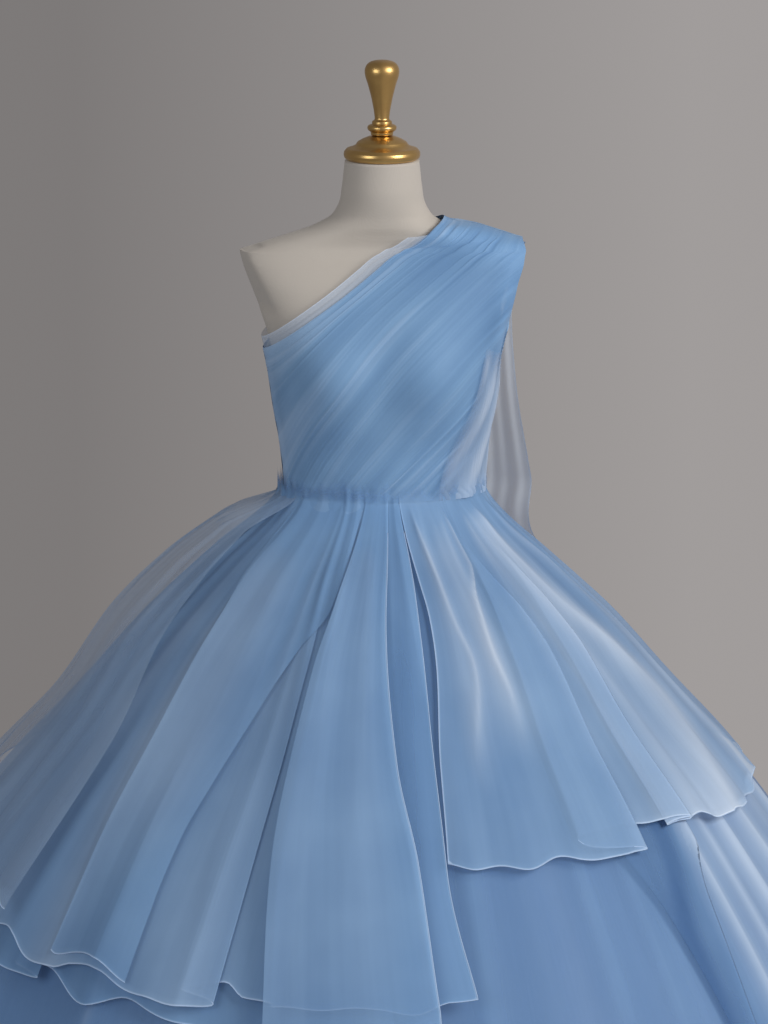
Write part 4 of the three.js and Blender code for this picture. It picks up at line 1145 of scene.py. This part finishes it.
def veil():
    """Hanging lines between its two edges' places above, blended into the skirt's surface below, with folds
    that spread from the gathers at the shoulder."""
    u = np.linspace(0, 1, 110)[:, None]
    v = np.linspace(0, 1, 150)[None, :]
    z = mix(VEIL_FREE[-1, 0], VEIL_HEM_Z, v) + 0 * u
    inner_x, inner_y, outer_x, outer_y = (through(VEIL_FREE[:, 0], VEIL_FREE[:, i])(z) for i in range(1, 5))
    fold = np.sin(u * 17 + 1.2 * np.sin(v * 4) + 0.8) * 0.6 + np.sin(u * 41 + 3 * v) * 0.4
    falls = 1.0 + 2.2 * smooth(0, 0.4, v)
    x, y = mix(inner_x, outer_x, u), mix(inner_y, outer_y, u)
    hanging = np.stack([x, y + 1 + falls * fold, z], -1)
    seated = off_body(angle_at(x, z, 1), z, VEIL_SEAT + 0 * u * v, 1)
    out = VEIL_LAYER * PITCH_FULL + 6 + 4 * fold
    lying = skirt_point(mix(*VEIL_ANGLES, u) + 0 * v, z, out)
    shape = mix(hanging, seated, smooth(1390, 1404, z)[..., None])
    shape = mix(shape, lying, smooth(1060, 930, z)[..., None])
    # The folds also carry painted highlight and shade.
    return shape[::-1], (0.28 * fold)[::-1], smooth(0.1, 0, v) + 0 * u


points, painted_light, gather = veil()
cloth("shoulder_veil_net", points, veil_net_painted_light, "sheer", "shoulder_veil",
      {"painted_light": painted_light, "gather": gather}, hems=("start", "end", "foot"),
      spare=1.1, rolled=("foot",))

# ---- the studio ----
# A plain pale floor that fades out, a soft key light high at the right, a weaker fill at the left, and a long
# lens at chest height, as a garment is usually shown.

FLOOR_RADIUS, FLOOR_FADE, FLOOR_BELOW, FLOOR_SIDES = 2200, 900, 0.5, 96
floor_finish = Finish("studio_floor", Roughness=0.9)
away = floor_finish.mark("away")
floor_tone = floor_finish.colours(floor_finish.noise(3), (0.50, 0.49, 0.48), (0.54, 0.53, 0.52))
floor_finish.set(Base_Color=floor_tone, Alpha=(1 - away).within())
ring = np.array([1.0, FLOOR_RADIUS - FLOOR_FADE, FLOOR_RADIUS])[None, :]
turn = np.radians(np.linspace(0, 360, FLOOR_SIDES, endpoint=False))[:, None]
disc = [ring * np.sin(turn), -ring * np.cos(turn), -FLOOR_BELOW + 0 * (ring + turn)]
disc = np.stack(np.broadcast_arrays(*disc), -1)
fades = np.repeat(np.array([[0.0, 0.0, 1.0]]), FLOOR_SIDES, axis=0)
floor = put_mesh("studio_floor", disc.reshape(-1, 3), grid_faces(FLOOR_SIDES, 3, True)[:, ::-1].tolist(),
                 marks={"away": fades}, body=None)
floor.data.materials.append(floor_finish.material)


def soft_light(name, place, aim, size, watts, colour):
    """A square area light that looks at a point."""
    lamp = bpy.data.lights.new(name, "AREA")
    lamp.size, lamp.energy, lamp.color = size, watts, colour
    light = bpy.data.objects.new(name, lamp)
    light.location = place
    facing = Vector(aim) - Vector(place)
    light.rotation_euler = facing.to_track_quat("-Z", "Y").to_euler()
    bpy.context.scene.collection.objects.link(light)


soft_light("key_light", (3.6, -2.9, 3.3), (0.1, 0, 0.9), 2.2, 190, (1.0, 0.98, 0.95))
soft_light("fill_light", (-3.2, -3.8, 2.6), (0, 0, 0.9), 2.6, 62, (0.92, 0.96, 1.0))

AIR_DARK, AIR_PALE = (0.205, 0.193, 0.190, 1), (0.355, 0.335, 0.330, 1)  # at the left and at the right
AIR_TURN = 0.07  # how far either side of the middle the grey changes, as a share of a direction's length
world = bpy.data.worlds.new("studio_air")
world.use_nodes = True
air = world.node_tree
direction = air.nodes.new("ShaderNodeTexCoord")
sides = air.nodes.new("ShaderNodeSeparateXYZ")
toward_key = air.nodes.new("ShaderNodeMapRange")
toward_key.inputs["From Min"].default_value = -AIR_TURN
toward_key.inputs["From Max"].default_value = AIR_TURN
grey = air.nodes.new("ShaderNodeMix")
grey.data_type = "RGBA"
grey.inputs[6].default_value, grey.inputs[7].default_value = AIR_DARK, AIR_PALE
air.links.new(direction.outputs["Generated"], sides.inputs["Vector"])
air.links.new(sides.outputs["X"], toward_key.inputs["Value"])
air.links.new(toward_key.outputs["Result"], grey.inputs[0])
air.links.new(grey.outputs[2], air.nodes["Background"].inputs["Color"])
scene = bpy.context.scene
scene.world = world
scene.view_settings.view_transform = "Standard"
scene.cycles.transparent_max_bounces = 28

LOOK_AT = Vector((0.0027, 0.0, 1.042))
CAMERA_DISTANCE, CAMERA_RISE, LENS = 6.0, math.radians(12), 154.2
camera_data = bpy.data.cameras.new("camera")
camera_data.lens, camera_data.sensor_width, camera_data.sensor_fit = LENS, 36, "AUTO"
camera = bpy.data.objects.new("camera", camera_data)
back = Vector((0, -math.cos(CAMERA_RISE), math.sin(CAMERA_RISE)))
camera.location = LOOK_AT + back * CAMERA_DISTANCE
camera.rotation_euler = (-back).to_track_quat("-Z", "Y").to_euler()
scene.collection.objects.link(camera)
scene.camera = camera
